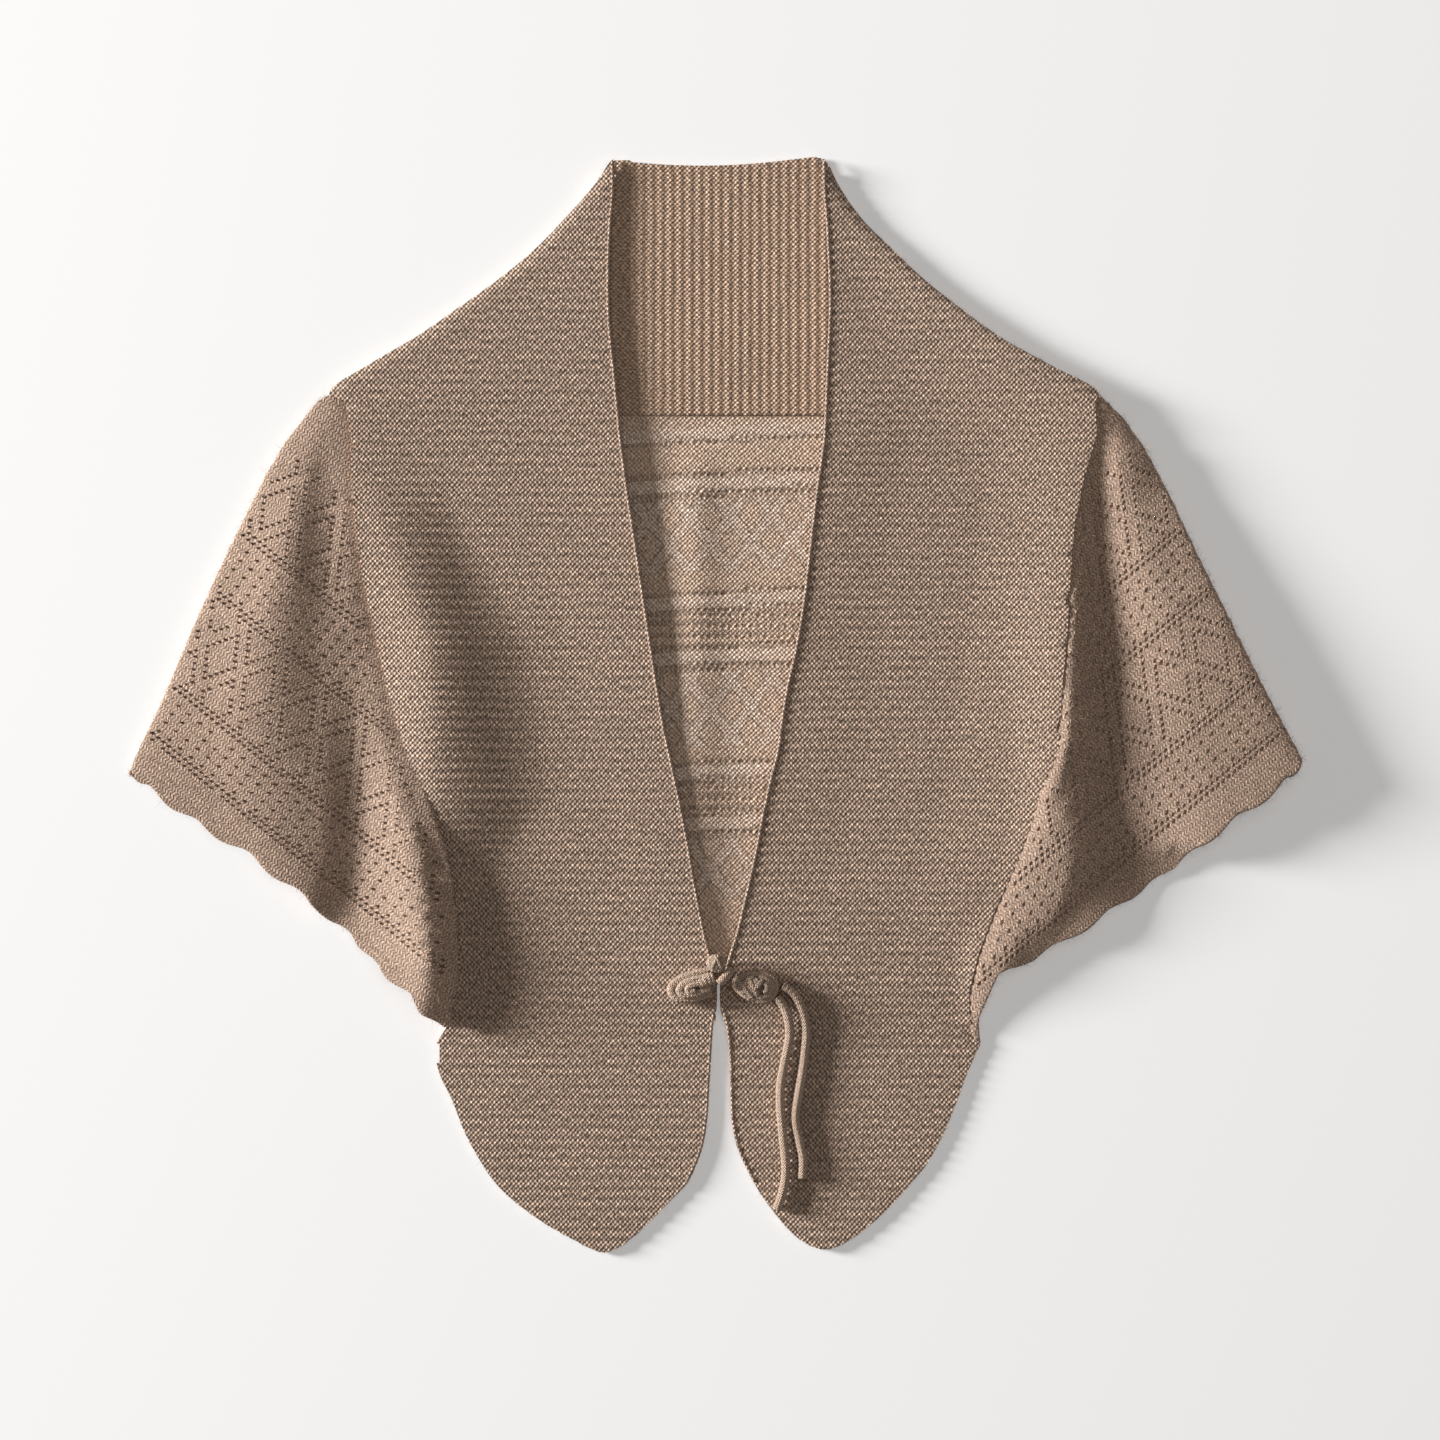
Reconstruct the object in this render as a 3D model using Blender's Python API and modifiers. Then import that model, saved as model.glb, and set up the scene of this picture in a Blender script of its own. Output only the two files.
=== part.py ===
"""Knitted capelet, laid flat on its back: a garter-stitch band that runs up the left front, round the
back of the neck and down the right front, a lace panel that hangs from the band's outer edge, and a
frog closure with a ball button and two tie cords.

Blender 4.5, metres, +Z up. The origin is on the surface that the capelet lies on, under the middle of
its outline. +Y points to the collar and -Y to the tails.
"""

import math
from collections import namedtuple

import bmesh
import bpy
import numpy as np

MM = 0.001

# Cloth: the garter band is thick and ridged, the lace is thinner
GARTER_WALL = 2.4 * MM
LACE_WALL = 1.8 * MM
RIDGE_HEIGHT = 0.6 * MM
RIDGE_PITCH = 5.6 * MM
NECK_RIDGE_PITCH = 5.3 * MM
SEAM_GAP = 0.3 * MM
WING_SEAM_GAP = 0.9 * MM
SEAM_EASE = 0.4 * MM

# Folded edges: how far in from the outline the cloth turns down to the surface
SHOULDER_FOLD_ENDS = 168 * MM
SHOULDER_TURN = 2.6 * MM
FRONT_SEAM_TURN = 0.9 * MM
WING_TURN = 7.0 * MM
BACK_INSET = 4.6 * MM

# Back layer, between the folds
COLLAR_LEFT_TOP = 298.4 * MM
COLLAR_RIGHT_TOP = 300.6 * MM
COLLAR_SAG = 3.9 * MM
COLLAR_HALF_WIDTH = 56.5 * MM
BAND_LOWER_EDGE = 159 * MM
LEFT_BAND_END = 7.4 * MM
RIGHT_BAND_END = 5.6 * MM
NECK_RIDGES_HALF_WIDTH = 72 * MM
BACK_HEM_CENTRE = -154 * MM
BACK_HEM_SLOPE = math.tan(math.radians(20))

# The lace panel begins where the band's outer edge meets the shoulder fold
WING_TOP = 165.2 * MM
WING_FOLD_RISE = 2.6 * MM
FRONT_TOP = 293.0 * MM
SCALLOP_DEPTH = 5.5 * MM
FULL_SCALLOP = 20 * MM
FULL_LEAN_SPAN = 80 * MM
WING_CORNER_CLEARANCE = 1.8 * MM

# Frog closure
CORD_DIAMETER = 5.3 * MM
BALL_DIAMETER = 11 * MM

# Each row is one level of a front, read from the collar down: the front's two edges, and how high its
# upper face lies at the inner edge, in the middle and at the outer edge. All in millimetres.
FrontRow = namedtuple("FrontRow", "y inner outer inner_z middle_z outer_z")

LEFT_FRONT = [
    FrontRow(298.4, -53.6, -56.4, 5.9, 5.9, 5.9),
    FrontRow(283, -55.5, -67.5, 5.9, 5.9, 5.9),
    FrontRow(266.5, -57, -82.2, 6.1, 5.9, 5.9),
    FrontRow(250, -57.8, -98.2, 6.3, 5.9, 5.9),
    FrontRow(233.5, -58.2, -118, 6.4, 5.9, 5.9),
    FrontRow(217, -58, -141.1, 6.5, 5.9, 5.9),
    FrontRow(200.5, -57, -165.3, 6.6, 5.9, 5.9),
    FrontRow(186.7, -55.4, -189, 6.7, 5.9, 5.9),
    FrontRow(170, -53.8, -211.5, 6.8, 5.9, 6.0),
    FrontRow(166, -53.5, -201, 6.8, 5.8, 6.3),
    FrontRow(123.5, -48.7, -198.3, 7.0, 5.3, 8.0),
    FrontRow(90.5, -43.7, -195.5, 7.0, 5.0, 9.6),
    FrontRow(57.5, -38.8, -190, 7.0, 4.9, 10.4),
    FrontRow(24.5, -33.8, -181.8, 7.0, 4.9, 10.6),
    FrontRow(-6.9, -28.9, -175.2, 6.8, 4.8, 9.8),
    FrontRow(-38.2, -22.3, -164.2, 6.5, 4.8, 8.2),
    FrontRow(-70.7, -15.7, -152.6, 6.2, 4.7, 6.2),
    FrontRow(-96.5, -11.3, -146, 6.0, 4.7, 5.0),
    FrontRow(-124, -6, -143.5, 5.8, 4.6, 4.2),
    FrontRow(-137.8, -3, -143.4, 5.6, 4.4, 3.6),
    FrontRow(-155, 0.9, -143.3, 5.2, 3.6, 2.8),
    FrontRow(-166, 0.7, -144, 4.2, 2.9, 2.4),
    FrontRow(-176.3, -1.4, -146.5, 2.8, 2.4, 2.4),
    FrontRow(-190, -2.2, -153.2, 2.4, 2.4, 2.4),
    FrontRow(-201.6, -3, -151, 2.4, 2.4, 2.4),
    FrontRow(-217, -3.9, -143.8, 2.4, 2.4, 2.4),
    FrontRow(-234, -5.2, -137.2, 2.4, 2.4, 2.4),
    FrontRow(-250.5, -9.6, -128.4, 2.4, 2.4, 2.4),
    FrontRow(-263.2, -15.7, -119.6, 2.4, 2.4, 2.4),
    FrontRow(-273.1, -25.6, -109.2, 2.4, 2.4, 2.4),
    FrontRow(-283.5, -35.5, -94.9, 2.4, 2.4, 2.4),
    FrontRow(-292.9, -45.9, -78.9, 2.4, 2.4, 2.4),
    FrontRow(-298.4, -53.6, -67.9, 2.4, 2.4, 2.4),
    FrontRow(-300.6, -59, -63, 2.4, 2.4, 2.4),
]

RIGHT_FRONT = [
    FrontRow(299.5, 59.1, 60.5, 5.9, 5.9, 5.9),
    FrontRow(283, 60.2, 69, 5.9, 5.9, 5.9),
    FrontRow(266.5, 61.6, 80.6, 6.1, 5.9, 5.9),
    FrontRow(250, 62.4, 97, 6.3, 5.9, 5.9),
    FrontRow(233.5, 63.3, 114.1, 6.4, 5.9, 5.9),
    FrontRow(217, 63.3, 134.5, 6.5, 5.9, 5.9),
    FrontRow(200.5, 62.7, 157, 6.6, 5.9, 5.9),
    FrontRow(184, 61.9, 186.5, 6.7, 5.9, 5.9),
    FrontRow(170, 61.4, 209.8, 6.8, 5.9, 6.0),
    FrontRow(166, 61.2, 207.5, 6.8, 5.8, 6.6),
    FrontRow(145, 60.2, 208.7, 7.0, 5.4, 8.4),
    FrontRow(123.5, 57, 201.6, 7.0, 5.2, 9.6),
    FrontRow(90.5, 53, 195.5, 7.0, 5.0, 11.0),
    FrontRow(57.5, 49.2, 193.3, 7.0, 4.9, 11.6),
    FrontRow(24.5, 43.5, 191.1, 6.8, 4.9, 11.6),
    FrontRow(2.5, 38.5, 188.9, 6.6, 4.8, 11.2),
    FrontRow(-25, 34.9, 187.3, 6.4, 4.8, 10.8),
    FrontRow(-49.8, 28.6, 177.9, 6.2, 4.7, 9.8),
    FrontRow(-69, 25, 173, 6.2, 4.7, 9.0),
    FrontRow(-96.5, 19.3, 160.3, 6.0, 4.7, 7.6),
    FrontRow(-118.5, 14, 151, 5.8, 4.6, 6.2),
    FrontRow(-137.8, 9.1, 143.8, 5.6, 4.4, 5.0),
    FrontRow(-155, 3.4, 139.2, 5.2, 3.6, 4.0),
    FrontRow(-166, 3.6, 138.3, 4.2, 2.9, 3.2),
    FrontRow(-179.5, 7.6, 140.6, 2.8, 2.4, 2.6),
    FrontRow(-185, 8.2, 146, 2.4, 2.4, 2.4),
    FrontRow(-193.3, 8.8, 142.2, 2.4, 2.4, 2.4),
    FrontRow(-207, 9.1, 136.7, 2.4, 2.4, 2.4),
    FrontRow(-224.7, 9.6, 130.1, 2.4, 2.4, 2.4),
    FrontRow(-239.5, 11.8, 123.5, 2.4, 2.4, 2.4),
    FrontRow(-253.8, 17.9, 115.2, 2.4, 2.4, 2.4),
    FrontRow(-265.4, 23.7, 105.3, 2.4, 2.4, 2.4),
    FrontRow(-278.6, 33, 93.2, 2.4, 2.4, 2.4),
    FrontRow(-290.1, 42.9, 79.5, 2.4, 2.4, 2.4),
    FrontRow(-296, 50.8, 70.7, 2.4, 2.4, 2.4),
    FrontRow(-298.9, 58.5, 63, 2.4, 2.4, 2.4),
]

# The wings' outer folds, from the shoulder down to the tip of the hem, in millimetres
FoldRow = namedtuple("FoldRow", "y x")

LEFT_FOLD = [
    FoldRow(174, -206.5),
    FoldRow(167.5, -215.3),
    FoldRow(151, -230.2),
    FoldRow(134.5, -241.7),
    FoldRow(118, -250),
    FoldRow(85, -266.5),
    FoldRow(35.5, -289),
    FoldRow(2.5, -302.8),
    FoldRow(-30.5, -318.7),
    FoldRow(-36, -321),
]
RIGHT_FOLD = [
    FoldRow(174, 205),
    FoldRow(167.5, 213.1),
    FoldRow(151, 228.5),
    FoldRow(134.5, 238.4),
    FoldRow(118, 247.3),
    FoldRow(85, 262.6),
    FoldRow(35.5, 286.8),
    FoldRow(2.5, 303.3),
    FoldRow(-30, 321),
]

# The notches between the scallops of the hems, from the front's seam out to the tip, in millimetres
Notch = namedtuple("Notch", "x y")

LEFT_NOTCHES = [
    Notch(-145.6, -176.3),
    Notch(-148.2, -172.6),
    Notch(-163.1, -155.9),
    Notch(-184.5, -137.2),
    Notch(-197.2, -122.9),
    Notch(-225.2, -99.8),
    Notch(-253.3, -78.4),
    Notch(-283, -60.8),
    Notch(-307.7, -43.2),
    Notch(-321, -36),
]
RIGHT_NOTCHES = [
    Notch(142.6, -179.2),
    Notch(157.6, -143.8),
    Notch(184.5, -130.1),
    Notch(216.4, -109.7),
    Notch(240.6, -93.2),
    Notch(257.7, -80),
    Notch(283.5, -59.1),
    Notch(309.9, -40.4),
    Notch(321, -30),
]
# The hems' first stretch follows the front's edge, and is straight
PLAIN_STRETCHES = 1

# Sections across a wing, from the shoulder (0) down to the hem (1): where its crest, valley and
# plateau lie between the seam (0) and the fold (1), and how high the upper face is there, in
# millimetres. At the seam the wing is as high as the front beside it.
WingSection = namedtuple(
    "WingSection", "down crest_at crest_z valley_at valley_z plateau_at plateau_z edge_z"
)

LEFT_SECTIONS = [
    WingSection(0.00, 0.20, 6.2, 0.42, 6.0, 0.70, 6.0, 5.6),
    WingSection(0.15, 0.10, 8.0, 0.40, 5.8, 0.70, 8.0, 6.0),
    WingSection(0.35, 0.08, 10.6, 0.36, 4.6, 0.72, 11.0, 6.6),
    WingSection(0.60, 0.13, 12.6, 0.42, 4.5, 0.76, 13.0, 7.0),
    WingSection(0.80, 0.09, 16.5, 0.44, 4.5, 0.76, 12.0, 6.4),
    WingSection(0.90, 0.07, 17.5, 0.40, 3.6, 0.72, 10.5, 5.4),
    WingSection(1.00, 0.06, 17.5, 0.36, 2.6, 0.66, 8.5, 4.4),
]
RIGHT_SECTIONS = [
    WingSection(0.00, 0.20, 6.4, 0.42, 6.0, 0.70, 6.0, 5.6),
    WingSection(0.15, 0.06, 9.0, 0.30, 5.4, 0.70, 8.4, 6.0),
    WingSection(0.35, 0.05, 12.0, 0.26, 4.7, 0.72, 11.0, 6.6),
    WingSection(0.60, 0.08, 12.6, 0.26, 4.5, 0.74, 12.0, 7.0),
    WingSection(0.80, 0.28, 12.0, 0.44, 4.5, 0.76, 11.5, 6.4),
    WingSection(0.90, 0.36, 11.0, 0.50, 3.8, 0.78, 10.0, 5.4),
    WingSection(1.00, 0.42, 9.6, 0.56, 2.8, 0.80, 7.5, 4.4),
]

WING_ROWS = np.array([0, 0.05, 0.12, 0.2, 0.28, 0.37, 0.46, 0.55, 0.64, 0.73, 0.81, 0.88, 0.945, 1])
WING_COLUMNS = 34
# The turn at the outer fold: how far out each point lies, and its share of the height
WING_ROLL = ((0.78, 0.8), (1, 0.42), (0.88, 0))

# A knot of the frog: its middle, size and turn, and where the rings of cord lie along it
Knot = namedtuple("Knot", "x y z length width height turn rings")

LEFT_KNOT = Knot(-10.7 * MM, -154.3 * MM, 10.4 * MM, 34 * MM, 17.5 * MM, 9.4 * MM, 14, 5)
RIGHT_KNOT = Knot(22.0 * MM, -154.3 * MM, 10.2 * MM, 27 * MM, 19 * MM, 9.4 * MM, -8, 4)
BALL_PLACE = (1.2 * MM, -141.5 * MM, 14.0 * MM)

# Routes of the frog's cords, at the middle of the cord, in millimetres
CordPoint = namedtuple("CordPoint", "x y z")

BUTTON_LOOP = [
    CordPoint(2.6, -152.5, 16.2),
    CordPoint(5.0, -150.1, 15.6),
    CordPoint(7.3, -147.5, 14.4),
    CordPoint(9.5, -145.1, 12.4),
]
LONG_CORD = [
    CordPoint(34.2, -160.2, 9.2),
    CordPoint(39.4, -168.6, 8.2),
    CordPoint(41.2, -181, 6.2),
    CordPoint(38.4, -196.6, 6.0),
    CordPoint(36.3, -209, 6.0),
    CordPoint(36.2, -221.4, 6.0),
    CordPoint(37.5, -236.2, 6.0),
    CordPoint(38.9, -248.8, 6.0),
    CordPoint(38.9, -259.3, 6.0),
    CordPoint(37.0, -268.8, 6.0),
    CordPoint(34.2, -277.2, 6.0),
]
SHORT_CORD = [
    CordPoint(37.15, -154.2, 9.4),
    CordPoint(43.4, -158.5, 8.8),
    CordPoint(48.1, -167.5, 7.8),
    CordPoint(50.3, -179.0, 6.4),
    CordPoint(49.4, -192.3, 6.0),
    CordPoint(48.0, -203.0, 6.0),
    CordPoint(45.9, -214.8, 6.0),
    CordPoint(44.4, -226.9, 6.0),
    CordPoint(46.6, -239.5, 6.0),
    CordPoint(48.5, -249.4, 6.0),
    CordPoint(48.1, -259.9, 6.0),
]

# Colours, linear
GARTER_COLOUR = (0.37, 0.27, 0.20)
LACE_COLOUR = (0.42, 0.31, 0.235)
CORD_COLOUR = (0.39, 0.285, 0.215)


def material(name, colour):
    """A plain woollen finish."""
    made = bpy.data.materials.new(name)
    made.use_nodes = True
    shader = made.node_tree.nodes["Principled BSDF"]
    shader.inputs["Base Color"].default_value = (*colour, 1)
    shader.inputs["Roughness"].default_value = 0.95
    shader.inputs["Metallic"].default_value = 0
    made.diffuse_color = (*colour, 1)
    return made


def add_object(name, data, finish):
    """Names an object, gives it its finish and puts it in the capelet's collection."""
    made = bpy.data.objects.new(name, data)
    made.data.materials.append(finish)
    bpy.data.collections["capelet"].objects.link(made)
    return made


def smooth_through(stations, values, at):
    """A curve through the values that never swings past them, read at one or many places."""
    stations, values = np.asarray(stations, float), np.asarray(values, float)
    if stations[0] > stations[-1]:
        stations, values = stations[::-1], values[::-1]
    steps = np.diff(stations)
    slopes = np.diff(values) / steps
    tangents = np.concatenate([slopes[:1], np.zeros(len(slopes) - 1), slopes[-1:]])
    same_way = slopes[:-1] * slopes[1:] > 0
    tangents[1:-1][same_way] = 2 * slopes[:-1][same_way] * slopes[1:][same_way] / (
        slopes[:-1][same_way] + slopes[1:][same_way]
    )
    found = np.clip(np.searchsorted(stations, at) - 1, 0, len(steps) - 1)
    t = np.clip((at - stations[found]) / steps[found], 0, 1)
    return (
        (2 * t**3 - 3 * t**2 + 1) * values[found]
        + (t**3 - 2 * t**2 + t) * steps[found] * tangents[found]
        + (3 * t**2 - 2 * t**3) * values[found + 1]
        + (t**3 - t**2) * steps[found] * tangents[found + 1]
    )


def column(table, name):
    """One named column of a table in millimetres, in metres."""
    return np.array([getattr(row, name) for row in table]) * MM


def at_level(front, name, y):
    """A front's edge or height at the level y."""
    return smooth_through(column(front, "y"), column(front, name), y)


def seam_points(front, notches):
    """Where a wing's rows meet the front's outer edge."""
    y = WING_TOP + (notches[0].y * MM - WING_TOP) * WING_ROWS
    return np.stack([at_level(front, "outer", y), y], axis=1)


def fold_points(fold, notches):
    """Where a wing's rows meet its outer fold."""
    top = WING_TOP + WING_FOLD_RISE
    y = top + (notches[-1].y * MM - top) * WING_ROWS
    return np.stack([smooth_through(column(fold, "y"), column(fold, "x"), y), y], axis=1)


def skin_normals(skin):
    """The direction that the upper face looks in, at each point of a grid of rows and columns."""
    across = np.gradient(skin, axis=1)
    down = np.gradient(skin, axis=0)
    normals = np.cross(across, down)
    normals /= np.linalg.norm(normals, axis=2, keepdims=True)
    return normals * np.sign(normals[:, :1, 2:])


def zipper(first, second):
    """Triangles between two chains of vertices, each a list of (place along the chain, vertex)."""
    faces = []
    i = j = 0
    while i < len(first) - 1 or j < len(second) - 1:
        step_first = j == len(second) - 1 or (
            i < len(first) - 1 and first[i + 1][0] <= second[j + 1][0]
        )
        if step_first:
            faces.append((first[i][1], second[j][1], first[i + 1][1]))
            i += 1
        else:
            faces.append((first[i][1], second[j][1], second[j + 1][1]))
            j += 1
    return faces


def cloth_wall(name, outer, inner, inner_rows, finish):
    """A closed wall between an outer grid of points and an inner one that has fewer rows."""
    mesh = bmesh.new()
    outer_verts = [[mesh.verts.new(point) for point in row] for row in outer]
    inner_verts = [[mesh.verts.new(point) for point in inner[row]] for row in inner_rows]
    for grid, turned in ((outer_verts, False), (inner_verts, True)):
        for upper, lower in zip(grid, grid[1:]):
            for a, b, c, d in zip(upper, upper[1:], lower[1:], lower):
                mesh.faces.new((a, d, c, b) if turned else (a, b, c, d))
    outer_places = range(len(outer))
    for side in (0, -1):
        faces = zipper(
            [(place, row[side]) for place, row in zip(outer_places, outer_verts)],
            [(place, row[side]) for place, row in zip(inner_rows, inner_verts)],
        )
        for face in faces:
            mesh.faces.new(face)
    for end in (0, -1):
        for a, b, c, d in zip(
            outer_verts[end], outer_verts[end][1:], inner_verts[end][1:], inner_verts[end]
        ):
            mesh.faces.new((a, b, c, d))
    bmesh.ops.recalc_face_normals(mesh, faces=mesh.faces)
    data = bpy.data.meshes.new(name)
    mesh.to_mesh(data)
    mesh.free()
    data.shade_smooth()
    return add_object(name, data, finish)


def inward_from(edge, side):
    """Across the outline at each row, level and towards the middle of the garment."""
    along = np.gradient(edge, axis=0)
    inward = np.stack([along[:, 1], -along[:, 0], np.zeros(len(edge))], axis=1)
    inward /= np.linalg.norm(inward, axis=1, keepdims=True)
    return inward * -side * np.sign(inward[:, :1])


def make_front(name, front, notches, side, finish):
    """One front with its tail. Its ridges run across it, and at the shoulder its edge turns down."""
    half_pitch = RIDGE_PITCH / 2
    lowest = front[-1].y * MM
    count = round((FRONT_TOP - lowest) / half_pitch)
    levels = np.linspace(FRONT_TOP, lowest, count + 1)
    inner_x, outer_x = at_level(front, "inner", levels), at_level(front, "outer", levels)
    seam = seam_points(front, notches)
    beside_wing = (levels < seam[0, 1]) & (levels > seam[-1, 1])
    outer_x[beside_wing] = np.interp(-levels[beside_wing], -seam[:, 1], seam[:, 0])
    heights = [at_level(front, key, levels) for key in ("inner_z", "middle_z", "outer_z")]
    on_fold = levels > SHOULDER_FOLD_ENDS
    width = np.abs(outer_x - inner_x)
    turn = np.where(on_fold, np.minimum(SHOULDER_TURN, 0.35 * width), FRONT_SEAM_TURN)

    columns = []
    for share in (0, 0.3, 0.65, 0.9):
        x = inner_x + (outer_x - side * turn - inner_x) * share
        z = [smooth_through((0, 0.5, 1), values, share) for values in zip(*heights)]
        columns.append(np.stack([x, levels, z], axis=1))
    top = heights[2]
    for along_turn, height_share in ((1, 1), (0.06, 0.6)):
        x = outer_x - side * turn * along_turn
        columns.append(np.stack([x, levels, np.where(on_fold, top * height_share, top)], axis=1))
    foot_x = outer_x - side * 0.25 * turn * on_fold
    foot_z = np.where(on_fold, 0, top - 0.3 * GARTER_WALL)
    columns.append(np.stack([foot_x, levels, foot_z], axis=1))
    skin = np.stack(columns, axis=1)

    inner = skin - (0, 0, GARTER_WALL)
    inward = inward_from(skin[on_fold, -2], side)
    inner[on_fold, -3] += inward * 0.2 * GARTER_WALL
    inner[on_fold, -2] = skin[on_fold, -2] + inward * GARTER_WALL
    inner[on_fold, -2, 2] = top[on_fold] - 1.15 * GARTER_WALL
    inner[on_fold, -1] = skin[on_fold, -1] + inward * GARTER_WALL
    inner[~on_fold, -2:, 0] -= side * SEAM_EASE
    inner[~on_fold, -1, 2] = top[~on_fold] - GARTER_WALL
    inner[..., 2] = np.maximum(inner[..., 2], 0)

    outer = skin.copy()
    outer[1::2, :-2, 2] += RIDGE_HEIGHT
    corner = int(on_fold.sum())
    inner_rows = sorted({*range(0, count, 4), corner - 1, corner, count})
    return cloth_wall(name, outer, inner, inner_rows, finish)


def hem_points(notches, shares):
    """Points along a scalloped hem, and how far each bulges out past the line of its notches."""
    xs, ys = column(notches, "x"), column(notches, "y")
    lengths = np.hypot(np.diff(xs), np.diff(ys))
    run = np.concatenate([[0], np.cumsum(lengths)])
    places = np.asarray(shares) * run[-1]
    found = np.clip(np.searchsorted(run, places, side="right") - 1, 0, len(lengths) - 1)
    t = (places - run[found]) / lengths[found]
    line = np.stack([xs[found] + t * np.diff(xs)[found], ys[found] + t * np.diff(ys)[found]], axis=1)
    outward = np.stack([np.diff(ys), -np.diff(xs)], axis=1) / lengths[:, None]
    outward *= np.where(outward[:, 1:] > 0, -1, 1)
    depth = SCALLOP_DEPTH * np.minimum(1, lengths[found] / FULL_SCALLOP) * (found >= PLAIN_STRETCHES)
    return line, outward[found] * (depth * np.sin(np.pi * t))[:, None]


def section_at(sections, down):
    """The section of a wing at one place between the shoulder and the hem."""
    stations = [section.down for section in sections]
    return WingSection(*(
        smooth_through(stations, [section[i] for section in sections], down)
        for i in range(len(WingSection._fields))
    ))


def make_wing(name, front, fold, notches, sections, side, finish):
    """One half of the lace panel that shows: from the front's seam to the outer fold, with its hem."""
    rows, shares = WING_ROWS, np.linspace(0, 1, WING_COLUMNS)
    seam = seam_points(front, notches) + (side * WING_SEAM_GAP, 0)
    folded = fold_points(fold, notches)
    for points in (seam, folded):
        points[0, 1] -= WING_CORNER_CLEARANCE
    hem_line, bulges = hem_points(notches, shares)
    straight = hem_line[0] + (hem_line[-1] - hem_line[0]) * shares[:, None]

    skin = np.zeros((len(rows), len(shares) + 3, 3))
    for i, down in enumerate(rows):
        line = seam[i] + (folded[i] - seam[i]) * shares[:, None]
        line = line + (hem_line - straight) * down**4 + bulges * down**14
        span = np.linalg.norm(folded[i] - seam[i])
        turn = min(WING_TURN, 0.3 * span)
        inset = 1 - turn / span
        flat = [np.interp(shares * inset, shares, line[:, axis]) for axis in (0, 1)]
        section = section_at(sections, down)
        seam_z = at_level(front, "outer_z", seam[i, 1]) / MM
        z = MM * smooth_through(
            [0, section.crest_at, section.valley_at, section.plateau_at, 1],
            [seam_z, section.crest_z, section.valley_z, section.plateau_z, section.edge_z],
            shares,
        )
        skin[i, : len(shares)] = np.stack([*flat, z], axis=1)
        fold_starts = skin[i, len(shares) - 1, :2]
        for k, (reach, height) in enumerate(WING_ROLL):
            place = fold_starts + (line[-1] - fold_starts) * reach
            skin[i, len(shares) + k] = (*place, section.edge_z * MM * height)

    normals = skin_normals(skin)
    spans = np.linalg.norm(folded - seam, axis=1)
    normals[..., :2] *= np.clip(spans / FULL_LEAN_SPAN, 0, 1)[:, None, None] ** 2
    inner = skin - normals * LACE_WALL
    inner[:, 0] = skin[:, 0] - (0, 0, LACE_WALL)
    inner[:, -2:] = skin[:, -2:] + inward_from(skin[:, -2], side)[:, None] * LACE_WALL
    inner[..., 2] = np.maximum(inner[..., 2], 0)
    return cloth_wall(name, skin, inner, list(range(len(rows))), finish)


def back_edge(front, fold, notches, side):
    """The outline of the back layer along one side, moved in from the folds to clear their turns."""
    levels = np.linspace(FRONT_TOP, SHOULDER_FOLD_ENDS + BACK_INSET, 24)
    shoulder = np.stack([at_level(front, "outer", levels), levels], axis=1)
    edge = np.concatenate([shoulder, fold_points(fold, notches)])
    return edge + inward_from(edge, side)[:, :2] * BACK_INSET


def make_back_neck(finish):
    """The band across the back of the neck. Its ridges run up and down, as the band turned there."""
    left = back_edge(LEFT_FRONT, LEFT_FOLD, LEFT_NOTCHES, -1)
    right = back_edge(RIGHT_FRONT, RIGHT_FOLD, RIGHT_NOTCHES, 1)
    left_end = at_level(LEFT_FRONT, "outer", WING_TOP) + LEFT_BAND_END
    right_end = at_level(RIGHT_FRONT, "outer", WING_TOP) - RIGHT_BAND_END
    half_pitch = NECK_RIDGE_PITCH / 2
    ridged = np.arange(-NECK_RIDGES_HALF_WIDTH, NECK_RIDGES_HALF_WIDTH, half_pitch)
    xs = np.concatenate([
        np.linspace(left_end, ridged[0], 14)[:-1],
        ridged,
        np.linspace(ridged[-1], right_end, 14)[1:],
    ])
    along = np.clip(xs / COLLAR_HALF_WIDTH, -1, 1)
    level = COLLAR_LEFT_TOP + (COLLAR_RIGHT_TOP - COLLAR_LEFT_TOP) * (1 + along) / 2
    upper = level - COLLAR_SAG * np.cos(np.pi / 2 * along)
    upper = np.minimum(upper, np.interp(xs, left[::-1, 0], left[::-1, 1], right=COLLAR_RIGHT_TOP))
    upper = np.minimum(upper, np.interp(xs, right[:, 0], right[:, 1], left=COLLAR_RIGHT_TOP))
    lower = BAND_LOWER_EDGE + SEAM_GAP
    columns = [
        np.stack([xs, upper + (lower - upper) * share, 0 * xs + GARTER_WALL], axis=1)
        for share in (0, 0.5, 1)
    ]
    skin = np.stack(columns, axis=1)
    outer = skin.copy()
    crests = (np.arange(len(xs)) % 2 == 1) & (np.abs(xs) < NECK_RIDGES_HALF_WIDTH)
    outer[crests, :, 2] += RIDGE_HEIGHT
    inner = skin * (1, 1, 0)
    inner_rows = list(range(0, len(xs) - 1, 3)) + [len(xs) - 1]
    return cloth_wall("back_neck", outer, inner, inner_rows, finish)


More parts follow.
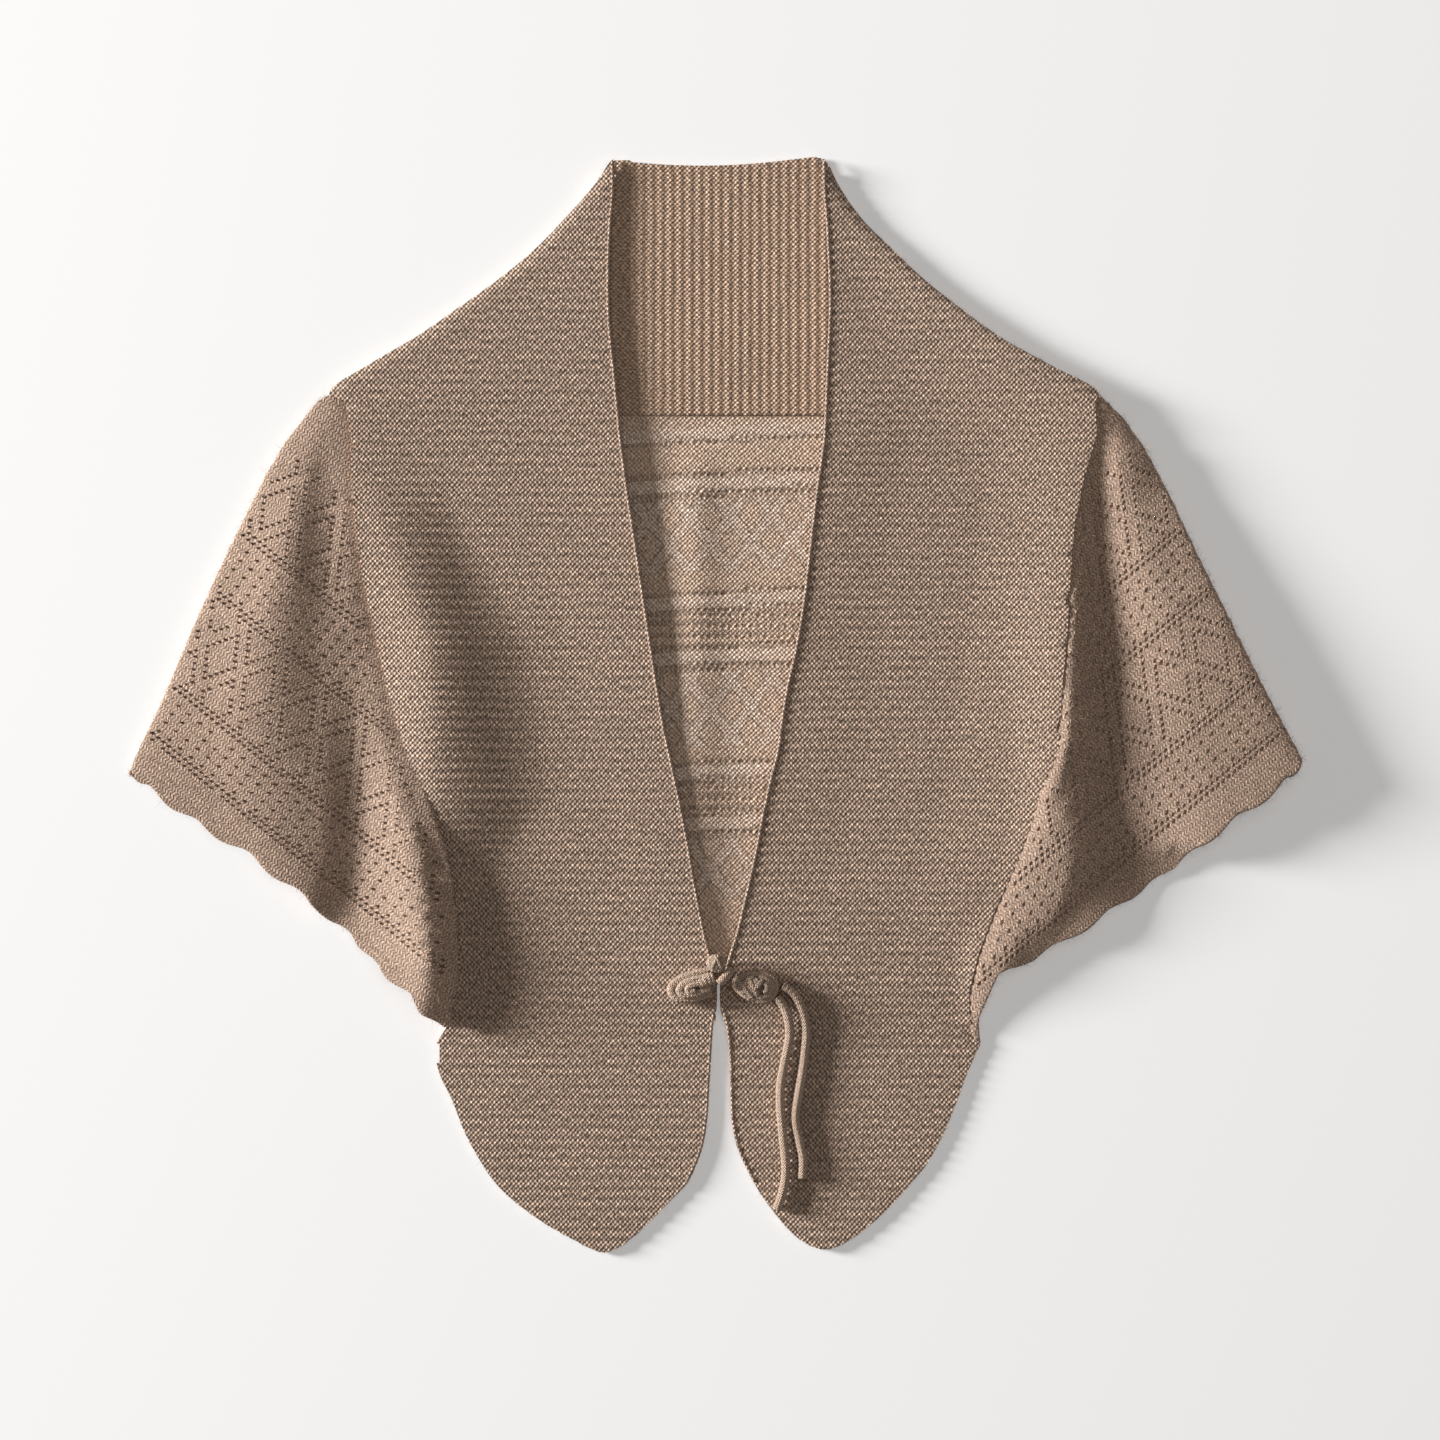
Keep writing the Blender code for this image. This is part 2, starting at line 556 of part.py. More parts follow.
def make_back_lace(finish):
    """The back of the lace panel, flat on the surface. Its hem is hidden and plain."""
    outlines = []
    for front, fold, notches, side in ((LEFT_FRONT, LEFT_FOLD, LEFT_NOTCHES, -1),
                                       (RIGHT_FRONT, RIGHT_FOLD, RIGHT_NOTCHES, 1)):
        edge = back_edge(front, fold, notches, side)
        top_x = np.interp(-BAND_LOWER_EDGE, -edge[:, 1], edge[:, 0])
        hem_end = BACK_HEM_CENTRE + abs(edge[-1, 0]) * BACK_HEM_SLOPE
        edge = edge[(edge[:, 1] < BAND_LOWER_EDGE - 2 * MM) & (edge[:, 1] > hem_end)]
        outlines.append([(top_x, BAND_LOWER_EDGE - SEAM_GAP), *edge])
    points = outlines[0] + [(0, BACK_HEM_CENTRE)] + outlines[1][::-1]
    curve = bpy.data.curves.new("back_lace", "CURVE")
    curve.dimensions = "2D"
    curve.fill_mode = "BOTH"
    curve.extrude = LACE_WALL / 2
    spline = curve.splines.new("POLY")
    spline.points.add(len(points) - 1)
    for point, (x, y) in zip(spline.points, points):
        point.co = (x, y, 0, 1)
    spline.use_cyclic_u = True
    made = add_object("back_lace", curve, finish)
    made.location.z = LACE_WALL / 2
    return made


def make_knot(name, knot, finish):
    """A knot of wound cord, turned about its length with a ring for each turn of the cord."""
    steps = knot.rings * 4
    verts, edges = [], []
    for i in range(steps + 1):
        t = i / steps
        swell = max(0, math.sin(math.pi * t)) ** 0.5 if 0 < i < steps else 0
        ring = 0.94 - 0.06 * math.cos(2 * math.pi * knot.rings * t)
        verts.append((swell * ring / 2, 0, 0.5 - t))
        if i:
            edges.append((i - 1, i))
    data = bpy.data.meshes.new(name)
    data.from_pydata(verts, edges, [])
    made = add_object(name, data, finish)
    screw = made.modifiers.new("turn", "SCREW")
    screw.steps = screw.render_steps = 14
    screw.use_merge_vertices = True
    screw.merge_threshold = 0.0001
    made.rotation_euler = (0, math.radians(90), math.radians(knot.turn))
    made.scale = (knot.height, knot.width, knot.length)
    made.location = (knot.x, knot.y, knot.z)
    return made


def make_ball(finish):
    """The ball button, a knot of the same cord."""
    mesh = bmesh.new()
    bmesh.ops.create_uvsphere(mesh, u_segments=14, v_segments=9, radius=BALL_DIAMETER / 2)
    data = bpy.data.meshes.new("ball_button")
    mesh.to_mesh(data)
    mesh.free()
    data.shade_smooth()
    made = add_object("ball_button", data, finish)
    made.location = BALL_PLACE
    return made


def make_cord(name, route, diameter, finish):
    """A cord along a smooth route through the points given, with flat ends."""
    points = np.array(route) * MM
    run = np.concatenate([[0], np.cumsum(np.linalg.norm(np.diff(points, axis=0), axis=1))])
    count = max(4, round(run[-1] / (2.2 * diameter)))
    places = np.linspace(0, run[-1], count + 1)
    path = np.stack([smooth_through(run, points[:, axis], places) for axis in range(3)], axis=1)
    curve = bpy.data.curves.new(name, "CURVE")
    curve.dimensions = "3D"
    curve.bevel_depth = diameter / 2
    curve.bevel_resolution = 2
    curve.use_fill_caps = True
    spline = curve.splines.new("POLY")
    spline.points.add(len(path) - 1)
    for point, place in zip(spline.points, path):
        point.co = (*place, 1)
    return add_object(name, curve, finish)


def main():
    for old in list(bpy.data.objects):
        bpy.data.objects.remove(old)
    bpy.context.scene.collection.children.link(bpy.data.collections.new("capelet"))
    garter = material("garter_wool", GARTER_COLOUR)
    lace = material("lace_wool", LACE_COLOUR)
    cord = material("cord_wool", CORD_COLOUR)

    make_back_neck(garter)
    make_back_lace(lace)
    make_front("front_left", LEFT_FRONT, LEFT_NOTCHES, -1, garter)
    make_front("front_right", RIGHT_FRONT, RIGHT_NOTCHES, 1, garter)
    make_wing("wing_left", LEFT_FRONT, LEFT_FOLD, LEFT_NOTCHES, LEFT_SECTIONS, -1, lace)
    make_wing("wing_right", RIGHT_FRONT, RIGHT_FOLD, RIGHT_NOTCHES, RIGHT_SECTIONS, 1, lace)
    make_knot("frog_knot_left", LEFT_KNOT, cord)
    make_knot("frog_knot_right", RIGHT_KNOT, cord)
    make_ball(cord)
    make_cord("button_loop", BUTTON_LOOP, CORD_DIAMETER, cord)
    make_cord("tie_cord_long", LONG_CORD, CORD_DIAMETER, cord)
    make_cord("tie_cord_short", SHORT_CORD, CORD_DIAMETER, cord)


main()
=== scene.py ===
# %% [markdown]
# # A knitted capelet, laid flat
# The capelet is a garter-stitch strip that goes up one front, round the neck and down the other, with a
# lace panel knitted on along its outer edge and a corded frog closure. It lies on its back. The solids
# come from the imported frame, and this lesson knits their surfaces: ridges, eyelets, wound cord and wool.

# %% Load the frame
import math

import bpy
import numpy as np
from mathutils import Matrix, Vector
from mathutils.bvhtree import BVHTree


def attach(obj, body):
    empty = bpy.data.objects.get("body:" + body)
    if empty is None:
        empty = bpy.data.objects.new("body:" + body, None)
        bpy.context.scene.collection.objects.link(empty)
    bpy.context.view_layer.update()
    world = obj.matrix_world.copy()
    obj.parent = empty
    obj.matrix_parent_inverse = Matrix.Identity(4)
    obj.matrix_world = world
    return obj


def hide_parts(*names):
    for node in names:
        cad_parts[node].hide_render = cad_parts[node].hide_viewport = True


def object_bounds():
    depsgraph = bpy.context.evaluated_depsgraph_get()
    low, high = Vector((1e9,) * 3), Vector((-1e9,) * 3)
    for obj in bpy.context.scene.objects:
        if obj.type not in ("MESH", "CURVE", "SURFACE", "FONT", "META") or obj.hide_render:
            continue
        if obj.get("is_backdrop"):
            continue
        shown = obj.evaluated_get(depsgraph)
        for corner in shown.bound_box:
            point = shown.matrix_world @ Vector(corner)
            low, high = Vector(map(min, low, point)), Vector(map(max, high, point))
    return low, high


MM = 0.001
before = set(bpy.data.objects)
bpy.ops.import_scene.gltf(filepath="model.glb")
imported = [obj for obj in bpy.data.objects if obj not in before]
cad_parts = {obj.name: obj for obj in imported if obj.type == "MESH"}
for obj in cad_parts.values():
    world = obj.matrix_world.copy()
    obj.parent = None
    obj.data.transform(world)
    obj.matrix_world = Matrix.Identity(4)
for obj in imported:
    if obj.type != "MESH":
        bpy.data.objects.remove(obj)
cad_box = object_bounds()
bpy.ops.object.select_all(action="DESELECT")
print("solids:", ", ".join(sorted(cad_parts)))

# %% [markdown]
# The camera looks straight down, because the garment was photographed lying flat. A long lens far away
# keeps the cloth free of perspective, so the fold at the left wing and the one at the right are seen alike.

# %% Camera
VIEW_WIDTH = 0.792
VIEW_MIDDLE = (3.0 * MM, -8.5 * MM)
LENS_MM = 100
SENSOR_MM = 36

camera_height = VIEW_WIDTH * LENS_MM / SENSOR_MM
bpy.ops.object.camera_add(location=(*VIEW_MIDDLE, camera_height), rotation=(0, 0, 0))
camera = bpy.context.object
camera.data.lens = LENS_MM
camera.data.sensor_width = SENSOR_MM
camera.data.clip_end = 20
bpy.context.scene.camera = camera
print(f"camera at {camera_height:.2f} m")

# %% [markdown]
# A low light from the left rakes over the knitting and shows every ridge, and a large soft one above
# fills the shadows. The floor is plain and nearly white.

# %% Light and floor
def area_light(name, place, aim, size, power):
    """A soft square light at a place, turned towards a point."""
    bpy.ops.object.light_add(type="AREA", location=place)
    light = bpy.context.object
    light.name = name
    light.data.size = size
    light.data.energy = power
    light.rotation_euler = (Vector(aim) - Vector(place)).to_track_quat("-Z", "Y").to_euler()
    return light


area_light("key_light", (-6.5, 1.55, 1.7), (0, 0, 0), size=1.6, power=960)
area_light("fill_light", (0.4, 0.3, 2.6), (0, 0, 0), size=2.4, power=12)

world = bpy.data.worlds.new("studio")
bpy.context.scene.world = world
world.use_nodes = True
world.node_tree.nodes["Background"].inputs["Color"].default_value = (1, 0.92, 0.84, 1)
world.node_tree.nodes["Background"].inputs["Strength"].default_value = 0.12
bpy.context.scene.view_settings.view_transform = "Standard"

FLOOR_DROP = 0.4 * MM
bpy.ops.mesh.primitive_plane_add(size=8, location=(0, 0, -FLOOR_DROP))
floor = bpy.context.object
floor.name = "floor"
floor_finish = bpy.data.materials.new("floor_paper")
floor_finish.use_nodes = True
floor_shader = floor_finish.node_tree.nodes["Principled BSDF"]
floor_shader.inputs["Base Color"].default_value = (0.88, 0.88, 0.88, 1)
floor_shader.inputs["Roughness"].default_value = 1
floor_shader.inputs["Emission Color"].default_value = (1, 1, 1, 1)
floor_shader.inputs["Emission Strength"].default_value = 0.22
floor.data.materials.append(floor_finish)
floor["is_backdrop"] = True

# %% [markdown]
# The wool is a heather yarn: fibres of oatmeal, brown and nearly black spun together. The pattern reads
# the piece's UV map, where one unit is one metre of knitting, and counts it in stitches and rows. Each
# stitch is a slanting strand that leans the other way in the next row. Its height drives both the bump
# and a painted shade in the grooves, and a noise drawn out along the strand gives the flecks of the heather.

# %% Wool
class Graph:
    """Short names for the nodes that the wool uses."""

    def __init__(self, material):
        material.use_nodes = True
        self.nodes, self.links = material.node_tree.nodes, material.node_tree.links
        self.shader = self.nodes["Principled BSDF"]

    def feed(self, socket, value):
        if isinstance(value, (int, float)):
            socket.default_value = value
        else:
            self.links.new(value, socket)

    def maths(self, operation, *values):
        made = self.nodes.new("ShaderNodeMath")
        made.operation = operation
        for socket, value in zip(made.inputs, values):
            self.feed(socket, value)
        return made.outputs[0]

    def vector(self, x, y):
        made = self.nodes.new("ShaderNodeCombineXYZ")
        self.feed(made.inputs[0], x)
        self.feed(made.inputs[1], y)
        return made.outputs[0]

    def noise(self, vector, scale, detail, roughness=0.6):
        made = self.nodes.new("ShaderNodeTexNoise")
        made.inputs["Scale"].default_value = scale
        made.inputs["Detail"].default_value = detail
        made.inputs["Roughness"].default_value = roughness
        self.links.new(vector, made.inputs["Vector"])
        return made.outputs["Fac"]

    def ramp(self, factor, stops):
        made = self.nodes.new("ShaderNodeValToRGB")
        elements = made.color_ramp.elements
        while len(elements) < len(stops):
            elements.new(0.5)
        for element, (position, colour) in zip(elements, stops):
            element.position = position
            element.color = (*colour, 1)
        self.links.new(factor, made.inputs["Fac"])
        return made.outputs["Color"]


def wool(name, tone, stitch, row, slant=None, relief=0.9 * MM, groove_shade=0.6, fleck=1.0, drift=1.1,
         figure=None):
    """Heather wool on a piece whose UV map is its knitting, measured in metres. With a slant the
    stitches are strands that lean to and fro; without one they are round loops, set half a stitch on
    in each next row. drift is how many stitches the columns wander. figure draws a pattern over it all:
    it returns where the knitting is raised and pale, and where it sinks, which is painted darker as shade."""
    finish = bpy.data.materials.new(name)
    graph = Graph(finish)
    shader, maths = graph.shader, graph.maths
    surface = {"Roughness": 0.9, "Specular IOR Level": 0.12, "Sheen Weight": 0.2, "Sheen Roughness": 0.6}
    for socket, constant in surface.items():
        shader.inputs[socket].default_value = constant

    uv = graph.nodes.new("ShaderNodeUVMap")
    parts = graph.nodes.new("ShaderNodeSeparateXYZ")
    graph.links.new(uv.outputs["UV"], parts.inputs[0])
    x = maths("DIVIDE", parts.outputs[0], stitch)
    y = maths("DIVIDE", parts.outputs[1], row)
    wander = graph.noise(uv.outputs["UV"], 0.4 / stitch, 2)
    x = maths("MULTIPLY_ADD", wander, drift, x)
    if slant is None:
        strand_x = x
        across_row = maths("COSINE", maths("MULTIPLY", x, 2 * math.pi))
        down_row = maths("COSINE", maths("MULTIPLY", y, 2 * math.pi))
        loop = maths("MULTIPLY_ADD", maths("MULTIPLY", across_row, down_row), 0.5, 0.5)
    else:
        lean = maths("MULTIPLY", maths("PINGPONG", y, 1), slant)
        strand_x = maths("ADD", x, lean)
        strand = maths("MULTIPLY", maths("PINGPONG", strand_x, 0.5), 2)
        crown = maths("MULTIPLY", maths("PINGPONG", y, 0.5), 2)
        crown = maths("MULTIPLY_ADD", maths("POWER", crown, 0.6), 0.6, 0.4)
        loop = maths("MULTIPLY", maths("MINIMUM", strand, 0.85), crown)

    along = graph.vector(maths("MULTIPLY", strand_x, 2.1), maths("MULTIPLY", y, 0.9))
    fibres = graph.noise(along, 1.15, 3, 0.65)
    spread = [1 - 0.62 * fleck, 1, 1 + 0.75 * fleck]
    colour = graph.ramp(
        fibres, [(at, [min(1, c * share) for c in tone]) for at, share in zip((0.3, 0.5, 0.7), spread)]
    )
    broad = graph.noise(uv.outputs["UV"], 26, 3)
    # Painted shade: the colour darkens where the stitch is low, in its grooves.
    shade = maths("MULTIPLY_ADD", loop, groove_shade, 1.06 - groove_shade * 0.55)
    value = maths("MULTIPLY", shade, maths("MULTIPLY_ADD", broad, 0.3, 0.85))
    height = loop
    dye = graph.nodes.new("ShaderNodeHueSaturation")
    if figure:
        raised, sunken_shade = figure(graph, parts.outputs[0], parts.outputs[1])
        value = maths("MULTIPLY", value, maths("MULTIPLY_ADD", raised, 0.12, 1))
        # Painted shade: the colour darkens where the figure sinks.
        value = maths("MULTIPLY", value, maths("MULTIPLY_ADD", sunken_shade, -0.3, 1))
        height = maths("MULTIPLY_ADD", raised, 0.5, height)
        height = maths("MULTIPLY_ADD", sunken_shade, -1.2, height)
        graph.links.new(maths("MULTIPLY_ADD", raised, -0.12, 1), dye.inputs["Saturation"])
    graph.links.new(value, dye.inputs["Value"])
    graph.links.new(colour, dye.inputs["Color"])
    graph.links.new(dye.outputs["Color"], shader.inputs["Base Color"])

    grain = graph.noise(along, 3.4, 2)
    bump = graph.nodes.new("ShaderNodeBump")
    bump.inputs["Strength"].default_value = 1
    bump.inputs["Distance"].default_value = relief
    graph.links.new(maths("MULTIPLY_ADD", grain, 0.35, height), bump.inputs["Height"])
    graph.links.new(bump.outputs["Normal"], shader.inputs["Normal"])
    return finish


STITCH = 2.6 * MM
RIDGE_PITCH = 5.6 * MM
NECK_RIDGE_PITCH = 5.3 * MM
EYELET_PITCH = 3.85 * MM
EYELET_ROW = 2.97 * MM

BACK_FIGURE_BOTTOM = -0.12
BACK_FIGURE_DEPTH = 0.3
BACK_FIGURES = [
    (-106, "diamonds"), (-72, "line"), (-68, "bar"), (-61, "line"), (-58.5, "dashes"), (-43, "line"),
    (-39.5, "bar"), (-33, "line"), (-30.5, "plain"), (-22, "diamonds"), (19, "line"), (23, "bar"),
    (30.5, "line"), (33, "dashes"), (51, "line"), (54, "bar"), (60.5, "line"), (63, "plain"),
    (74, "diamonds"), (114, "line"), (118, "bar"), (126, "line"), (128.5, "plain"), (144, "line"),
    (146.6, "bar"), (153.5, "plain"),
]
FIGURE_MASKS = {
    "plain": (0, 0, 0), "bar": (1, 0, 0), "line": (0, 1, 0), "diamonds": (0, 0, 1), "dashes": (0, 0.5, 0)
}
DIAMOND_WIDTH = 22.5 * MM
DIAMOND_SLOPE = 1.33
FIGURE_RISE = 0.05
DASH_PITCH = 3.4 * MM
RUNG_PITCH = 2.5 * MM


def back_figures(graph, x, y):
    """The bars, broken lines and diamonds of the lace's back, which rise a little to the right."""
    maths = graph.maths
    waver = graph.noise(graph.vector(x, y), 60, 1)
    y = maths("MULTIPLY_ADD", waver, 3 * MM, maths("MULTIPLY_ADD", x, -FIGURE_RISE, y))
    x = maths("MULTIPLY_ADD", waver, 4 * MM, x)
    factor = maths("DIVIDE", maths("SUBTRACT", y, BACK_FIGURE_BOTTOM), BACK_FIGURE_DEPTH)
    stops = [(0, FIGURE_MASKS["plain"])]
    for start, kind in BACK_FIGURES:
        stops.append(((start * MM - BACK_FIGURE_BOTTOM) / BACK_FIGURE_DEPTH, FIGURE_MASKS[kind]))
    masks = graph.nodes.new("ShaderNodeSeparateColor")
    bands = graph.ramp(factor, stops)
    bands.node.color_ramp.interpolation = "CONSTANT"
    graph.links.new(bands, masks.inputs[0])
    bar, line, diamonds = masks.outputs[:3]

    across = maths("DIVIDE", x, DIAMOND_WIDTH)
    up = maths("DIVIDE", y, DIAMOND_WIDTH * DIAMOND_SLOPE)
    strips = []
    for diagonal in (maths("ADD", across, up), maths("SUBTRACT", across, up)):
        strips.append(maths("PINGPONG", diagonal, 0.5))
    nearest = maths("MINIMUM", *strips)
    strip = maths("MULTIPLY", maths("LESS_THAN", nearest, 0.15), diamonds)
    border = maths("MULTIPLY", maths("COMPARE", nearest, 0.175, 0.025), diamonds)
    stitch = maths("PINGPONG", maths("DIVIDE", x, STITCH), 0.5)
    broken = maths("GREATER_THAN", stitch, 0.16)
    rows = maths("LESS_THAN", maths("PINGPONG", maths("DIVIDE", y, DASH_PITCH), 1), 0.4)
    full_line = maths("GREATER_THAN", line, 0.75)
    dashed = maths("MULTIPLY", maths("GREATER_THAN", line, 0.25), rows)
    lines = maths("MULTIPLY", maths("MAXIMUM", full_line, dashed), broken)
    rungs = maths("PINGPONG", maths("DIVIDE", y, RUNG_PITCH), 0.5)
    rungs = maths("MULTIPLY", maths("LESS_THAN", rungs, 0.09), strip)
    rungs = maths("MULTIPLY", rungs, 0.6)
    # Painted shade: the lines, the diamonds' borders and their rungs sink, and are painted dark as shade.
    sunken_shade = maths("MAXIMUM", maths("MAXIMUM", border, lines), rungs)
    return maths("MAXIMUM", bar, strip), sunken_shade


garter_wool = wool("garter_wool", (0.465, 0.332, 0.247), STITCH, RIDGE_PITCH / 2,
                   relief=1.1 * MM, groove_shade=1.4, fleck=1.3, drift=0.5)
# Painted light: the collar is the same yarn as the fronts, set lighter to make up for the shade on its
# upright ridges.
neck_wool_painted_light = wool("neck_wool_painted_light", (0.53, 0.362, 0.255), STITCH, NECK_RIDGE_PITCH / 2,
                 relief=0.8 * MM, groove_shade=1.1, drift=0.5)
lace_wool = wool("lace_wool", (0.46, 0.324, 0.242), EYELET_PITCH / 2, EYELET_ROW / 1.5,
                 slant=0.6, relief=0.4 * MM, groove_shade=0.9)
back_wool = wool("back_wool", (0.68, 0.472, 0.35), STITCH, STITCH,
                 relief=0.8 * MM, groove_shade=0.95, figure=back_figures)
# Painted light: the cord is set lighter than the knitted wool, to lift the knots out of the shade they fall
# in.
cord_wool = wool("cord_wool", (0.6, 0.428, 0.317), 1.6 * MM, 1.4 * MM,
                 relief=0.8 * MM, groove_shade=1.1, drift=0.3)

# %% [markdown]
# Each cloth piece is laid over its solid. To find the outline, the solid is cut at many levels, as a
# tailor measures a pattern: at each level the lowest and highest place of the cut are its two edges.
# Neighbours meet under a seam, so each outline is let out by half a millimetre.

# %% Measure a solid's outline
SEAM_ALLOWANCE = 0.5 * MM
TUCK = 5 * MM
TUCK_ENDS = -178 * MM
TUCK_RUN_OUT = 24 * MM
TUCK_DROP = 3.0 * MM
LEVEL_STEP = 1.2 * MM


class Outline:
    """A solid's edges seen from above, for knitting whose rows run along across. tuck is how far the
    sheet goes on past its seam, under the neighbour: seam_side is 1 where the seam is at the end of the
    rows, and -1 where it is at their start. The tuck runs out towards the hem. gussets are lines past
    the solid that the cloth reaches out to."""

    def __init__(self, node, across, seam_side=0, tuck=0.0, gussets=()):
        self.across = np.array(across) / np.hypot(*across)
        self.up = np.array((-self.across[1], self.across[0]))
        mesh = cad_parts[node].data
        points = np.array([v.co for v in mesh.vertices])[:, :2]
        ends = points[np.array([e.vertices[:] for e in mesh.edges])]
        if gussets:
            ends = np.vstack([ends, np.array(gussets) * MM])
        place, level = ends @ self.across, ends @ self.up
        self.rows, self.row_low, self.row_high = self.spans(level, place)
        self.columns, self.column_low, self.column_high = self.spans(place, level)
        if not seam_side:
            return
        row_end = self.row_high if seam_side > 0 else self.row_low
        row_end += seam_side * tuck * self.tuck_share(row_end, self.rows)
        self.column_high += tuck * self.tuck_share(self.columns, self.column_high)
        self.rows[-1] += tuck
        if seam_side > 0:
            self.columns[-1] += tuck
        else:
            self.columns[0] -= tuck

    def tuck_share(self, place, level):
        return np.clip((place * self.across[1] + level * self.up[1] - TUCK_ENDS) / TUCK_RUN_OUT, 0, 1)

    def seam_depth(self, place, level, seam_side):
        """How far a point lies from the seam's end of its row, or from the top of its column."""
        row_end = self.row_high if seam_side > 0 else self.row_low
        along = seam_side * (np.interp(level, self.rows, row_end) - place)
        return np.minimum(along, np.interp(place, self.columns, self.column_high) - level)

    @staticmethod
    def spans(cut, along):
        margin = 0.05 * MM
        levels = np.arange(cut.min() + margin, cut.max() - margin, LEVEL_STEP)
        low, high = [], []
        for at in levels:
            crossing = (cut.min(axis=1) <= at) & (cut.max(axis=1) >= at)
            a, b = cut[crossing].T
            share = np.where(np.abs(b - a) > 1e-9, (at - a) / np.where(b == a, 1, b - a), 0)
            found = along[crossing, 0] + share * (along[crossing, 1] - along[crossing, 0])
            low.append(found.min() - SEAM_ALLOWANCE)
            high.append(found.max() + SEAM_ALLOWANCE)
        levels[0] -= SEAM_ALLOWANCE
        levels[-1] += SEAM_ALLOWANCE
        return levels, np.array(low), np.array(high)

    def depth(self, place, level):
        """How far inside the outline each point is, measured along its row or its column."""
        return np.minimum.reduce([
            place - np.interp(level, self.rows, self.row_low),
            np.interp(level, self.rows, self.row_high) - place,
            level - np.interp(place, self.columns, self.column_low),
            np.interp(place, self.columns, self.column_high) - level,
        ])

    def clamp(self, place, level, inset=0.0):
        """Moves the points that lie outside onto the outline, along their row or column, whichever is
        nearer."""

        def into(at, along, levels, lows, highs):
            at = np.clip(at, levels[0] + inset, levels[-1] - inset)
            low, high = np.interp(at, levels, lows) + inset, np.interp(at, levels, highs) - inset
            return at, np.clip(along, np.minimum(low, high), np.maximum(low, high))

        row_level, row_place = into(level, place, self.rows, self.row_low, self.row_high)
        column_place, column_level = into(place, level, self.columns, self.column_low, self.column_high)
        by_row = np.hypot(row_place - place, row_level - level)
        by_column = np.hypot(column_place - place, column_level - level)
        use_row = np.where(by_column < 1e-9, True, (by_row > 1e-9) & (by_row < by_column))
        return np.where(use_row, row_place, column_place), np.where(use_row, row_level, column_level)

    def spread(self, points):
        return points[:, :2] @ self.across, points[:, :2] @ self.up

    def flat(self, place, level):
        return place[:, None] * self.across + level[:, None] * self.up


# %% [markdown]
# The knitting itself starts as a grid with one cell for each stitch. Eyelets are inset and deleted while
# the grid is still flat and square, and so are the cells past the outline. Then each vertex moves to its
# place in the garment, the last ones onto the outline, and the height is read off the solid below.

# %% Knit a sheet over a solid
EDGE_MARGIN = 3.4 * MM
SEAM_MARGIN = 4 * MM
OUTSIDE = 0.3 * MM
LONGEST_MOVE = 3
PROBE_INSET = 0.4 * MM
PIT_MARK = -1


def move_vertices(piece, points):
    piece.data.vertices.foreach_set("co", np.asarray(points, np.float32).ravel())
    piece.data.update()


def vertex_places(piece):
    places = np.empty(len(piece.data.vertices) * 3, np.float32)
    piece.data.vertices.foreach_get("co", places)
    return places.reshape(-1, 3).astype(float)


def edit(piece, select="SELECT", kind="VERT"):
    bpy.ops.object.select_all(action="DESELECT")
    bpy.context.view_layer.objects.active = piece
    piece.select_set(True)
    bpy.ops.object.mode_set(mode="EDIT")
    bpy.ops.mesh.select_mode(type=kind)
    bpy.ops.mesh.select_all(action=select)


def select_faces(piece, chosen):
    """Selects these faces and stays in edit mode."""
    edit(piece, "DESELECT", "FACE")
    bpy.ops.object.mode_set(mode="OBJECT")
    piece.data.polygons.foreach_set("select", chosen)
    bpy.ops.object.mode_set(mode="EDIT")


def delete_faces(piece, chosen):
    select_faces(piece, chosen)
    bpy.ops.mesh.delete(type="FACE")
    bpy.ops.object.mode_set(mode="OBJECT")


def set_uv(mesh, uv):
    """Gives each face's corners the UV places of their vertices."""
    corners = np.empty(len(mesh.loops), np.int32)
    mesh.loops.foreach_get("vertex_index", corners)
    mesh.uv_layers.active.data.foreach_set("uv", uv[corners].ravel())


def mesh_piece(name, points, faces, uv):
    """A new piece from its vertices, its faces and each vertex's place on the UV map."""
    mesh = bpy.data.meshes.new(name)
    mesh.from_pydata(points.tolist(), [], faces)
    mesh.uv_layers.new(name="UVMap")
    set_uv(mesh, uv)
    piece = bpy.data.objects.new(name, mesh)
    bpy.context.collection.objects.link(piece)
    return piece


def heights_over(node, points, from_below=False):
    """How high a solid's upper face is under each point, or its lower face over it."""
    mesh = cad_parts[node].data
    tree = BVHTree.FromPolygons([v.co for v in mesh.vertices], [p.vertices[:] for p in mesh.polygons])
    start, way = (-0.01, Vector((0, 0, 1))) if from_below else (0.1, Vector((0, 0, -1)))
    found = np.zeros(len(points))
    for i, (x, y) in enumerate(points):
        hit = tree.ray_cast(Vector((x, y, start)), way)[0]
        found[i] = hit.z if hit else tree.find_nearest(Vector((x, y, 0.02)))[0].z
    return found


